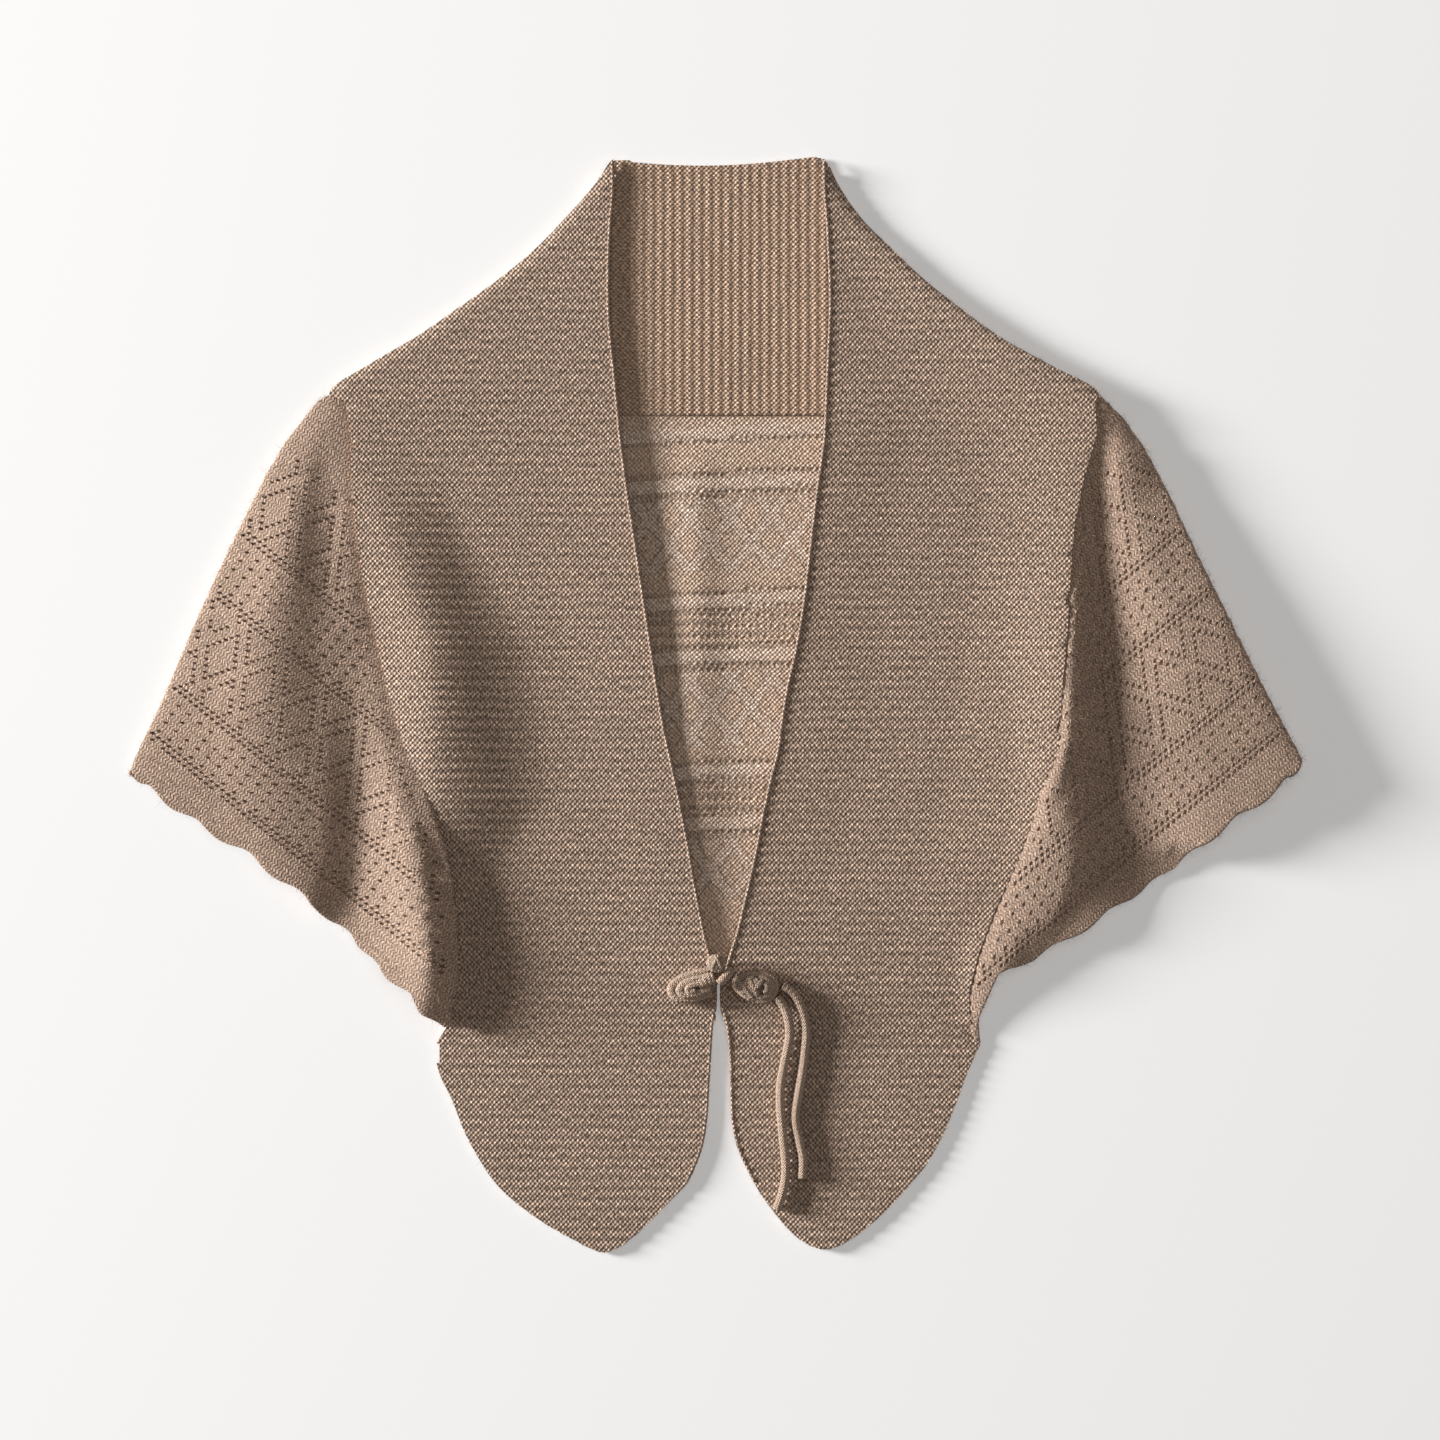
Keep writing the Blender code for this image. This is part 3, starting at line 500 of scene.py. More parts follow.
def knit_over(name, node, across, stitch, row, shear=0.0, eyelet=None, seam_side=0, gussets=(), pit=0.0):
    """A sheet of knitting over a solid. Its rows run along across, and shear moves each row along by
    that share of a stitch. eyelet gives each cell's hole: 0 for none, or the share that is left round it.
    With a pit the holes are only sunk, by that depth."""
    outline = Outline(node, across, seam_side, TUCK, gussets)
    start, bottom = outline.columns[0], outline.rows[0]
    row_count = math.ceil((outline.rows[-1] - bottom) / row)
    drift = math.ceil(shear * row_count)
    column_count = math.ceil((outline.columns[-1] - start) / stitch) + drift
    bpy.ops.mesh.primitive_grid_add(x_subdivisions=column_count, y_subdivisions=row_count, size=1)
    piece = bpy.context.object
    piece.name = piece.data.name = name
    move_vertices(piece, (vertex_places(piece) + (0.5, 0.5, 0)) * (column_count, row_count, 1))

    def laid(cells):
        return start + stitch * (cells[:, 0] - drift + shear * cells[:, 1]), bottom + row * cells[:, 1]

    if eyelet:
        centres = np.array([face.center for face in piece.data.polygons])
        place, level = laid(centres)
        column, row_number = np.floor(centres[:, 0]).astype(int), np.floor(centres[:, 1]).astype(int)
        border = eyelet(column, row_number, place, level - bottom)
        border = np.where(outline.depth(place, level) > EDGE_MARGIN, border, 0)
        if seam_side:
            border[outline.seam_depth(place, level, seam_side) < TUCK + SEAM_MARGIN] = 0
        for share in sorted(set(border[border > 0])):
            chosen = np.zeros(len(piece.data.polygons), bool)
            chosen[: len(border)] = border == share
            select_faces(piece, chosen)
            bpy.ops.mesh.inset(thickness=share, use_individual=True, use_even_offset=False)
            bpy.ops.object.mode_set(mode="OBJECT")
        is_hole = np.zeros(len(piece.data.polygons), bool)
        is_hole[: len(border)] = border > 0
        if pit:
            for face in np.array(piece.data.polygons)[is_hole]:
                for vertex in face.vertices:
                    piece.data.vertices[vertex].co.z = PIT_MARK
        else:
            delete_faces(piece, is_hole)

    place, level = laid(vertex_places(piece))
    inner_place, inner_level = outline.clamp(place, level)
    moved = np.hypot(inner_place - place, inner_level - level)
    middles = np.array([face.center for face in piece.data.polygons])
    middle_place, middle_level = laid(middles)
    kept_place, kept_level = outline.clamp(middle_place, middle_level)
    is_outside = np.hypot(kept_place - middle_place, kept_level - middle_level) > OUTSIDE
    corners = [face.vertices[:] for face in piece.data.polygons]
    delete_faces(piece, [
        out and all(moved[v] > 1e-7 for v in face) or max(moved[v] for v in face) > LONGEST_MOVE * stitch
        for out, face in zip(is_outside, corners)
    ])
    place, level = outline.clamp(*laid(vertex_places(piece)))
    set_uv(piece.data, np.stack([place, level], axis=1))
    probe = outline.flat(*outline.clamp(place, level, SEAM_ALLOWANCE + PROBE_INSET))
    height = heights_over(node, probe) - pit * (vertex_places(piece)[:, 2] < PIT_MARK / 2)
    if seam_side:
        tucked = np.clip(1 - outline.seam_depth(place, level, seam_side) / TUCK, 0, 1)
        height -= TUCK_DROP * tucked**0.7 * outline.tuck_share(place, level)
    move_vertices(piece, np.column_stack([outline.flat(place, level), height]))
    edit(piece)
    bpy.ops.mesh.remove_doubles(threshold=0.02 * MM)
    bpy.ops.mesh.dissolve_degenerate(threshold=0.02 * MM)
    bpy.ops.object.mode_set(mode="OBJECT")
    return piece, outline


def smooth_heights(piece, times):
    """Evens out the facets of the solid below, in height alone."""
    edit(piece)
    bpy.ops.mesh.vertices_smooth(factor=0.5, repeat=times, xaxis=False, yaxis=False, zaxis=True)
    bpy.ops.object.mode_set(mode="OBJECT")


# %% [markdown]
# The cloth's soft folds run down the garment over several pieces, so they are given once, for all. Each
# fold is a line of places, from the bottom up, all in millimetres. A place is its y, its x, the height
# there, and the widths over which that falls off to the left and to the right.

# %% Soft folds
LEFT_RIDGE = [
    (-181.8, -150.0, 0.0, 14, 12), (-162.5, -147.0, 5.5, 22, 13),
    (-130.0, -146.0, 6.5, 32, 14), (-107.5, -147.0, 6.0, 36, 18),
    (-85.0, -151.0, 5.0, 36, 38), (-52.5, -149.3, 7.5, 36, 60),
    (-8.5, -151.0, 9.0, 36, 58), (35.5, -153.7, 8.5, 36, 50),
    (79.5, -170.0, 5.0, 32, 44), (123.5, -188.0, 1.0, 26, 36),
    (150.0, -195.0, 0.0, 26, 36),
]
LEFT_PLATEAU = [
    (-140.0, -236.0, 2.0, 50, 22), (-107.5, -223.0, 5.0, 55, 23),
    (-85.0, -216.0, 6.5, 60, 23), (-52.5, -215.0, 7.5, 64, 24),
    (-8.5, -214.0, 7.5, 64, 24), (35.5, -213.0, 7.0, 60, 24),
    (79.5, -214.0, 4.5, 50, 24), (123.5, -216.0, 1.0, 40, 22),
]
RIGHT_RIDGE = [
    (-160.0, 160.0, 0.0, 42, 14), (-140.0, 168.0, 1.5, 42, 14),
    (-110.0, 187.0, 3.5, 42, 14), (-80.0, 198.0, 6.0, 42, 14),
    (-30.5, 201.0, 6.5, 42, 14), (35.5, 196.6, 4.5, 42, 14),
    (79.5, 199.9, 2.0, 42, 14), (123.5, 203.8, 0.0, 42, 14),
]
RIGHT_PLATEAU = [
    (-80.0, 285.0, 8.0, 60, 30), (-35.0, 332.0, 15.0, 96, 24),
    (-10.0, 324.0, 15.0, 92, 22), (20.0, 310.0, 14.5, 84, 22),
    (50.0, 296.0, 13.5, 76, 22), (80.0, 283.0, 12.5, 66, 20),
    (112.0, 266.0, 10.0, 54, 20), (145.0, 245.0, 4.0, 40, 20),
]
RIGHT_TONGUE = [
    (-176.0, 148.0, 2.0, 16, 10), (-150.0, 156.0, 4.5, 26, 12),
    (-130.0, 163.0, 2.5, 30, 16), (-110.0, 168.0, 0.0, 30, 20),
]
RIGHT_SHOULDER = [
    (95.0, 215.0, 0.0, 60, 30), (130.0, 225.0, 4.0, 90, 30),
    (165.0, 225.0, 7.0, 110, 30), (206.0, 192.0, 7.5, 110, 30),
    (250.0, 150.0, 4.5, 80, 30), (285.0, 100.0, 0.0, 40, 30),
]
FOLDS = [LEFT_RIDGE, LEFT_PLATEAU, RIGHT_RIDGE, RIGHT_PLATEAU, RIGHT_TONGUE, RIGHT_SHOULDER]


def raise_folds(piece):
    """Lifts a sheet where folds run through it."""
    points = vertex_places(piece)
    x, y = points[:, 0] / MM, points[:, 1] / MM
    rise = np.zeros(len(points))
    for fold in FOLDS:
        level, middle, height, left, right = np.array(fold).T
        crest = np.interp(y, level, middle)
        reach = np.where(x < crest, np.interp(y, level, left), np.interp(y, level, right))
        near = np.clip(1 - np.abs(x - crest) / reach, 0, 1)
        rise += np.interp(y, level, height, left=0, right=0) * near**2 * (3 - 2 * near)
    points[:, 2] += rise * MM
    move_vertices(piece, points)


# %% [markdown]
# Where a sheet ends high up, at a fold, the cloth goes round and down. The outer edge is extruded in two
# steps: the first goes down, and the second goes down and in, to the underside of the solid. Every edge
# that stands high is turned down so, and that takes in the hem at the right wing's tip, which it closes.

# %% Turn the folds down
AT_EDGE = 0.2 * MM
TURN_INSET = 0.9 * MM
FOLD_STANDS = 0.8 * MM
FOLD_CLEARANCE = 0.3 * MM


def turn_down_folds(piece, node, outline, wall):
    points = vertex_places(piece)
    place, level = outline.spread(points)
    at_edge = outline.depth(place, level) < AT_EDGE
    probe = outline.flat(*outline.clamp(place, level, SEAM_ALLOWANCE + TURN_INSET))
    low = np.full(len(points), np.inf)
    low[at_edge] = heights_over(node, probe[at_edge], from_below=True)
    folds = at_edge & (points[:, 2] - low > wall + FOLD_STANDS)
    uses = {}
    for face in piece.data.polygons:
        for key in face.edge_keys:
            uses[key] = uses.get(key, 0) + 1
    chosen = [uses.get(e.key, 0) == 1 and folds[e.key[0]] and folds[e.key[1]] for e in piece.data.edges]
    if not any(chosen):
        return
    targets = {tuple(np.round(points[i, :2], 6)): low[i] for i in np.flatnonzero(folds)}
    inward = {key: point for key, point in zip(targets, probe[folds])}
    edit(piece, "DESELECT", "EDGE")
    bpy.ops.object.mode_set(mode="OBJECT")
    piece.data.edges.foreach_set("select", chosen)
    for share_down, share_in in ((0.55, 0.0), (1.0, 1.0)):
        bpy.ops.object.mode_set(mode="EDIT")
        bpy.ops.mesh.extrude_edges_move()
        bpy.ops.object.mode_set(mode="OBJECT")
        for vertex in piece.data.vertices:
            if not vertex.select:
                continue
            key = tuple(np.round(vertex.co[:2], 6))
            if key not in targets:
                continue
            vertex.co.z += (targets[key] + FOLD_CLEARANCE - vertex.co.z) * share_down
            step = (Vector(inward[key]) - vertex.co.xy) * share_in
            vertex.co.x += step.x
            vertex.co.y += step.y


def thicken(piece, wall, sharp_rim=False):
    """Gives a sheet the thickness of its edge, below the face that shows. A sharp rim keeps a seam from
    catching the light."""
    modifier = piece.modifiers.new("wall", "SOLIDIFY")
    modifier.thickness = wall
    modifier.offset = -1
    modifier.use_rim_only = True
    bpy.context.view_layer.objects.active = piece
    bpy.ops.object.modifier_apply(modifier="wall")
    piece.data.shade_smooth()
    if sharp_rim:
        piece.data.set_sharp_from_angle(angle=math.radians(60))


def round_off(piece):
    """One level of subdivision, which makes eyelets round and folds soft."""
    piece.modifiers.new("round", "SUBSURF").levels = 1
    bpy.context.view_layer.objects.active = piece
    bpy.ops.object.modifier_apply(modifier="round")


def finish_piece(piece, material, slot, *nodes):
    piece.data.materials.clear()
    piece.data.materials.append(material)
    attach(piece, "root")
    if nodes:
        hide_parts(*nodes)
    print(f"{piece.name}: {sum(len(f.vertices) - 2 for f in piece.data.polygons)} triangles")
    return piece


def print_area(piece):
    print(f"{piece.name}: {sum(face.area for face in piece.data.polygons):.4f} m2")


# %% [markdown]
# A cord is a tube along a smooth route. Its surface stands up in braided strands, and its UV map runs
# along and round it in metres. The same tube makes the rolled edges of the fronts and the wound knots.

# %% Cord
def smooth_route(points, spacing):
    """Places along a smooth curve through points given in metres, evenly spaced."""
    points = np.array(points)
    padded = np.vstack([2 * points[0] - points[1], points, 2 * points[-1] - points[-2]])
    t = np.linspace(0, 1, 12, endpoint=False)[:, None]
    pieces = []
    for a, b, c, d in zip(padded, padded[1:], padded[2:], padded[3:]):
        pieces.append(
            0.5 * (2 * b + (c - a) * t + (2 * a - 5 * b + 4 * c - d) * t**2 + (3 * b - a - 3 * c + d) * t**3)
        )
    dense = np.vstack([*pieces, points[-1:]])
    run = np.concatenate([[0], np.cumsum(np.linalg.norm(np.diff(dense, axis=0), axis=1))])
    at = np.linspace(0, run[-1], max(2, round(run[-1] / spacing) + 1))
    return np.stack([np.interp(at, run, dense[:, k]) for k in range(3)], axis=1)


def cord_tube(name, route, diameter, ribs=24, spacing=0.5 * MM, plies=4, twist=5.2 * MM, depth=0.2):
    """A closed tube of braided cord along a route given in metres, and the middles of its rings."""
    path = smooth_route(route, spacing)
    along = np.gradient(path, axis=0)
    along /= np.linalg.norm(along, axis=1, keepdims=True)
    side = np.cross(along, (0, 0, 1))
    side /= np.maximum(np.linalg.norm(side, axis=1, keepdims=True), 1e-9)
    over = np.cross(side, along)
    run = np.concatenate([[0], np.cumsum(np.linalg.norm(np.diff(path, axis=0), axis=1))])
    angles = np.linspace(0, 2 * np.pi, ribs, endpoint=False)
    turning, travelling = plies * angles[None], 2 * np.pi * run[:, None] / twist
    strand = 0.5 + 0.5 * np.cos(turning + travelling) * np.cos(turning - travelling)
    radius = diameter / 2 * (1 - depth + depth * strand)
    points = path[:, None] + radius[..., None] * (
        np.cos(angles)[None, :, None] * side[:, None] + np.sin(angles)[None, :, None] * over[:, None]
    )
    uv = np.stack(np.broadcast_arrays(run[:, None], angles[None] * diameter / 2), axis=-1).reshape(-1, 2)
    faces = []
    for i in range(len(path) - 1):
        for k in range(ribs):
            after = (k + 1) % ribs
            faces.append((i * ribs + k, i * ribs + after, (i + 1) * ribs + after, (i + 1) * ribs + k))
    last = (len(path) - 1) * ribs
    faces += [tuple(range(ribs))[::-1], tuple(range(last, last + ribs))]
    piece = mesh_piece(name, points.reshape(-1, 3), faces, uv)
    edit(piece)
    bpy.ops.mesh.normals_make_consistent(inside=False)
    bpy.ops.object.mode_set(mode="OBJECT")
    piece.data.shade_smooth()
    return piece, path


def joined(name, pieces):
    """One piece made of several."""
    bpy.ops.object.select_all(action="DESELECT")
    for piece in pieces:
        piece.select_set(True)
    bpy.context.view_layer.objects.active = pieces[0]
    bpy.ops.object.join()
    pieces[0].name = pieces[0].data.name = name
    return pieces[0]


# %% [markdown]
# The two tie cords hang from the right knot over the front. Each is one smooth route of its real length,
# given by points chosen along the cord, and its ends are cut bare.

# %% Tie cords
CORD_DIAMETER = 5.3 * MM
LONG_CORD = [
    (34.2, -160.2, 9.2), (39.4, -168.6, 8.2), (41.2, -181, 6.2), (38.4, -196.6, 6.0),
    (36.3, -209, 6.0), (36.2, -221.4, 6.0), (37.5, -236.2, 6.0), (38.9, -248.8, 6.0),
    (38.9, -259.3, 6.0), (37.0, -268.8, 6.0), (34.2, -277.2, 6.0),
]
SHORT_CORD = [
    (37.15, -154.2, 9.4), (43.4, -158.5, 8.8), (48.1, -167.5, 7.8), (50.3, -179.0, 6.4),
    (49.4, -192.3, 6.0), (48.0, -203.0, 6.0), (45.9, -214.8, 6.0), (44.4, -226.9, 6.0),
    (46.6, -239.5, 6.0), (48.5, -249.4, 6.0), (48.1, -259.9, 6.0),
]
BUTTON_LOOP = [(2.6, -152.5, 16.2), (5.0, -150.1, 15.6), (7.3, -147.5, 14.4), (9.5, -145.1, 12.4)]

for name, route in (("long", LONG_CORD), ("short", SHORT_CORD)):
    tie, path = cord_tube(f"tie_cord_{name}_wool", np.array(route) * MM, CORD_DIAMETER)
    finish_piece(tie, cord_wool, "cord_wool", f"tie_cord_{name}")
    measured = float(np.linalg.norm(np.diff(path, axis=0), axis=1).sum())
    print(f"tie cord {name}: {measured:.4f} m")
    tuple(path[0])
    [tuple(p) for p in path]

loop_cord, _ = cord_tube("button_loop_wool", np.array(BUTTON_LOOP) * MM, CORD_DIAMETER * 0.98)
finish_piece(loop_cord, cord_wool, "cord_wool", "button_loop")

# %% [markdown]
# The frog's knots are wound cord. The left one is open windings, one inside another and drawn out to the
# left, with a fat end at the right. The right one has strands that cross over each other, and three arcs
# at its right. The ball is a core with one strand wound round it as a Turk's head.

# %% Knots and ball
LEFT_KNOT = dict(middle=(-10.7, -154.3), turn=14)
RIGHT_KNOT = dict(middle=(22.0, -154.3), turn=-8)
BALL_MIDDLE = (1.2, -141.5, 14.0)


def placed(points, middle, turn):
    """Points given in a knot's own frame, in millimetres, moved to its place in the garment."""
    points = np.array(points, float)
    c, s = math.cos(math.radians(turn)), math.sin(math.radians(turn))
    x = middle[0] + c * points[:, 0] - s * points[:, 1]
    y = middle[1] + s * points[:, 0] + c * points[:, 1]
    return np.stack([x, y, points[:, 2]], axis=1) * MM


def core(name, middle, size, turn):
    """A solid heart for a knot, so that no light shows between its windings."""
    bpy.ops.mesh.primitive_uv_sphere_add(segments=32, ring_count=16, radius=0.5)
    piece = bpy.context.object
    piece.name = name
    points = placed(vertex_places(piece) * size, (0, 0), turn)
    move_vertices(piece, points + np.array(middle) * MM)
    piece.data.shade_smooth()
    corners = np.empty(len(piece.data.loops) * 2, np.float32)
    piece.data.uv_layers.active.data.foreach_get("uv", corners)
    piece.data.uv_layers.active.data.foreach_set("uv", corners * 40 * MM)
    return piece


LEFT_STRANDS = [
    (5.2, [(9, 6.0, 8.6), (2, 6.4, 9.0), (-6, 5.8, 8.8), (-11.6, 3.4, 8.8), (-13.2, 0, 8.8),
           (-11.4, -3.6, 8.8), (-6, -5.8, 8.8), (1, -6.2, 9.0), (8, -5.4, 8.6)]),
    (4.9, [(8, 2.6, 11.0), (0, 3.4, 11.6), (-5.6, 2.6, 11.2), (-8.6, 0.0, 11.0), (-7.4, -2.6, 11.0),
           (-3.4, -3.8, 11.2), (2, -3.6, 11.2), (8, -3.0, 10.6)]),
    (3.8, [(2, 1.0, 12.8), (-2, 1.0, 12.9), (-4.4, -0.2, 12.7), (-3.4, -1.9, 12.6), (-0.4, -2.0, 12.6)]),
    (8.0, [(2.4, 0.6, 10.9), (6.5, 1.6, 11.2), (11.0, 1.6, 10.6)]),
]
RIGHT_STRANDS = [
    (4.2, [(-12.0, 0, 8.6), (-8, 3.6, 9.8), (-3, 6.0, 10.0), (3, 6.9, 8.8)]),
    (4.2, [(-12.0, 0, 8.6), (-8, -3.4, 9.8), (-3, -6.0, 10.0), (3, -6.8, 8.8)]),
    (3.6, [(-9.5, -2.5, 11), (-5.5, 1.0, 12.4), (-1.5, 5.2, 11.4)]),
    (3.6, [(-9.5, 1.5, 11.2), (-5, -1.8, 13.0), (-0.5, -5.4, 11.4)]),
    (3.6, [(-6.5, -4.4, 11), (-2.5, -0.5, 12.8), (1.2, 4.0, 12.2)]),
    (3.6, [(-4.6, 4.4, 11.2), (-1.5, 0.6, 13.2), (2.0, -4.4, 12.2)]),
    (3.6, [(-2.4, -3.6, 12.0), (1.0, 0.2, 13.3), (3.6, 4.0, 12.0)]),
]
RING_MIDDLE = (3.6, 0)
RING_POINTS = 17
RIGHT_RINGS = [(4.2, 7.9, 7.2, 9.0, 104), (3.7, 5.3, 5.2, 11.0, 112), (3.2, 2.9, 3.1, 12.6, 58)]


def wound(name, strands, place):
    """Cord strands laid in a knot. Each strand is its diameter and its route, in millimetres."""
    make = dict(ribs=20, spacing=0.45 * MM, plies=3, twist=4 * MM)
    return [cord_tube(name, placed(route, **place), width * MM, **make)[0] for width, route in strands]


def ring_route(half_width, half_depth, z, half_turn):
    angles = np.radians(np.linspace(half_turn, -half_turn, RING_POINTS))
    x = RING_MIDDLE[0] + half_width * np.cos(angles)
    y = RING_MIDDLE[1] + half_depth * np.sin(angles)
    return np.stack([x, y, np.full(RING_POINTS, z)], axis=1)


left_windings = wound("winding", LEFT_STRANDS, LEFT_KNOT)
left_windings.append(core("heart", (*LEFT_KNOT["middle"], 8.0), (26, 13, 5), LEFT_KNOT["turn"]))
left_knot = joined("frog_knot_left_wool", left_windings)
finish_piece(left_knot, cord_wool, "cord_wool", "frog_knot_left")

rings = [(diameter, ring_route(*shape)) for diameter, *shape in RIGHT_RINGS]
right_windings = wound("winding", RIGHT_STRANDS + rings, RIGHT_KNOT)
right_windings.append(core("heart", (*RIGHT_KNOT["middle"], 8.2), (22, 14, 5), RIGHT_KNOT["turn"]))
right_knot = joined("frog_knot_right_wool", right_windings)
finish_piece(right_knot, cord_wool, "cord_wool", "frog_knot_right")

BALL_STRAND = 2.1 * MM
BALL_CORE = 10.2
BALL_TURNS = 3
BALL_LOBES = 5
BALL_LATITUDE = math.radians(66)
t = np.linspace(0, 1, 121)[:-1]
longitude = 2 * np.pi * BALL_TURNS * t
latitude = BALL_LATITUDE * np.sin(2 * np.pi * BALL_LOBES * t)
winding_radius = 4.5 + 0.25 * np.cos(2 * np.pi * (2 * BALL_LOBES) * t)
turks_head = np.stack([
    BALL_MIDDLE[0] + winding_radius * np.cos(latitude) * np.cos(longitude),
    BALL_MIDDLE[1] + winding_radius * np.sin(latitude),
    BALL_MIDDLE[2] + winding_radius * np.cos(latitude) * np.sin(longitude),
], axis=1)
ball = joined("ball_button_wool", [
    cord_tube("winding", turks_head * MM, BALL_STRAND, ribs=12, plies=2, twist=3 * MM)[0],
    core("heart", BALL_MIDDLE, [BALL_CORE] * 3, 0),
])
finish_piece(ball, cord_wool, "cord_wool", "ball_button")

# %% [markdown]
# Garter stitch has a ridge for every two rows, the same on both faces of the cloth. The ridges are real
# relief, with six rows of vertices to each, and the wool's bump adds the loops. A rolled edge follows
# each front's inner side.

# %% Garter pieces
GARTER_WALL = 2.4 * MM
GARTER_RIM = GARTER_WALL - 0.8 * MM
RIDGE_RELIEF = 0.6 * MM
FRONT_TOP = 293 * MM
SELVEDGE = 2.0 * MM
SELVEDGE_ENDS = (298 * MM, -262 * MM)


def raise_ridges(piece, axis, start, pitch, relief):
    """Ridges across the sheet."""
    points = vertex_places(piece)
    points[:, 2] -= relief / 2 * np.cos(2 * np.pi * (start - points[:, axis]) / pitch)
    move_vertices(piece, points)


def selvedge(name, node, outline, side):
    """The rolled edge along a front's inner side."""
    levels = np.linspace(*SELVEDGE_ENDS, 34)
    edge = outline.row_high if side == "left" else outline.row_low
    inward = -1 if side == "left" else 1
    place = np.interp(levels, outline.rows, edge) + inward * 0.4 * SELVEDGE
    top = heights_over(node, np.stack([place, levels], axis=1))
    route = np.stack([place, levels, top - 0.1 * SELVEDGE], axis=1)
    return cord_tube(name, route, SELVEDGE, ribs=10, spacing=1.4 * MM, plies=2, twist=5.6 * MM, depth=0.2)[0]


COLLAR_CORNERS = {
    "left": [((-60.5, 292.5), (-56.0, 298.8)), ((-56.0, 298.8), (-54.8, 293.0))],
    "right": [((61.0, 293.0), (59.5, 299.3)), ((59.5, 299.3), (64.3, 292.8))],
    "neck": [((-55.0, 298.4), (-46.0, 298.6))],
}
for side in ("left", "right"):
    node = f"front_{side}"
    front, outline = knit_over(f"{node}_garter", node, (1, 0), STITCH / 1.5, RIDGE_PITCH / 6,
                               gussets=COLLAR_CORNERS[side])
    smooth_heights(front, 8)
    raise_folds(front)
    raise_ridges(front, 1, FRONT_TOP, RIDGE_PITCH, RIDGE_RELIEF)
    turn_down_folds(front, node, outline, GARTER_WALL)
    print_area(front)
    thicken(front, GARTER_RIM, sharp_rim=True)
    finish_piece(front, garter_wool, "garter_wool", node)
    edge = selvedge(f"{node}_selvedge", node, outline, side)
    finish_piece(edge, garter_wool, "garter_wool")

neck, outline = knit_over("back_neck_garter", "back_neck", (0, 1), STITCH / 1.5, NECK_RIDGE_PITCH / 6,
                          gussets=COLLAR_CORNERS["neck"])
smooth_heights(neck, 6)
raise_ridges(neck, 0, 0, NECK_RIDGE_PITCH, 0.35 * RIDGE_RELIEF)
print_area(neck)
thicken(neck, GARTER_RIM)
finish_piece(neck, neck_wool_painted_light, "garter_wool", "back_neck")

# %% [markdown]
# The lace repeats in bands that run parallel to the hem: a plain border, a double row of eyelets set
# half a pitch apart, open mesh, and a broad band of diamonds, drawn by ladders of eyelets on both sides
# of a thin rib. A table of the bands, from the hem up, says how each level is knitted. Eyelets are true
# holes.

# %% Lace pattern
WING_BANDS = [
    ("plain", 23), ("rows", 6), ("mesh", 25), ("rows", 6), ("diamonds", 48),
    ("rows", 6), ("mesh", 28), ("rows", 6), ("diamonds", 48), ("plain", 400),
]
DIAMOND = 7
WING_EYELETS = (0.18, 0.22, 0.27)
CLOSED_SHARE = 0.04
LACE_SEED = 7


def lace(bands, rims, seed):
    """Says where a lace made of these bands is open. Each diagonal of a diamond follows the grid: one
    way along a column of cells, and the other way along a row and a column together. The eyelets are of
    several widths, and a few have felted shut."""
    tops = np.cumsum([depth for _, depth in bands]) * MM
    kinds = np.array([kind for kind, _ in bands])

    def border(column, row, place, above_hem):
        kind = kinds[np.minimum(np.searchsorted(tops, above_hem), len(kinds) - 1)]
        one_way, other_way = column % DIAMOND, (column + row) % DIAMOND
        rib = (one_way == 0) | (other_way == 0)
        ladder = np.isin(one_way, (1, DIAMOND - 1)) | np.isin(other_way, (1, DIAMOND - 1))
        is_open = kind == "rows"
        is_open |= (kind == "mesh") & (row % 2 == 0) & ((column + row // 2) % 2 == 0)
        is_open |= (kind == "diamonds") & ladder & ~rib
        random = np.random.default_rng(seed)
        is_open &= random.random(len(column)) > CLOSED_SHARE
        return np.where(is_open, random.choice(rims, len(column)), 0)

    return border


# %% [markdown]
# Each wing is knitted in the direction of its own hem, which slopes down to the front, so the bands
# turn with it. The panel's other half lies under it and is seen, in shade, through the eyelets.

# %% Wings
LACE_WALL = 1.8 * MM
UNDER_DROP = 1.5 * MM
UNDER_CELL = 5 * MM
UNDER_SHRINK = 0.012
UNDER_LOWEST = 0.3 * MM
UNDER_WALL = 0.3 * MM
WING_ACROSS = {"left": (176, -140.3), "right": (178.4, 149.2)}
SEAM_SIDE = {"left": 1, "right": -1}
GUSSETS = {
    "left": [((-203.5, 164.5), (-212.4, 170.6)), ((-212.4, 170.6), (-222.5, 160.5))],
    "right": [((208.5, 163.0), (210.0, 169.8)), ((210.0, 169.8), (219.5, 160.0)),
              ((141.5, -176.0), (145.4, -185.0)), ((145.4, -185.0), (144.5, -172.0))],
}

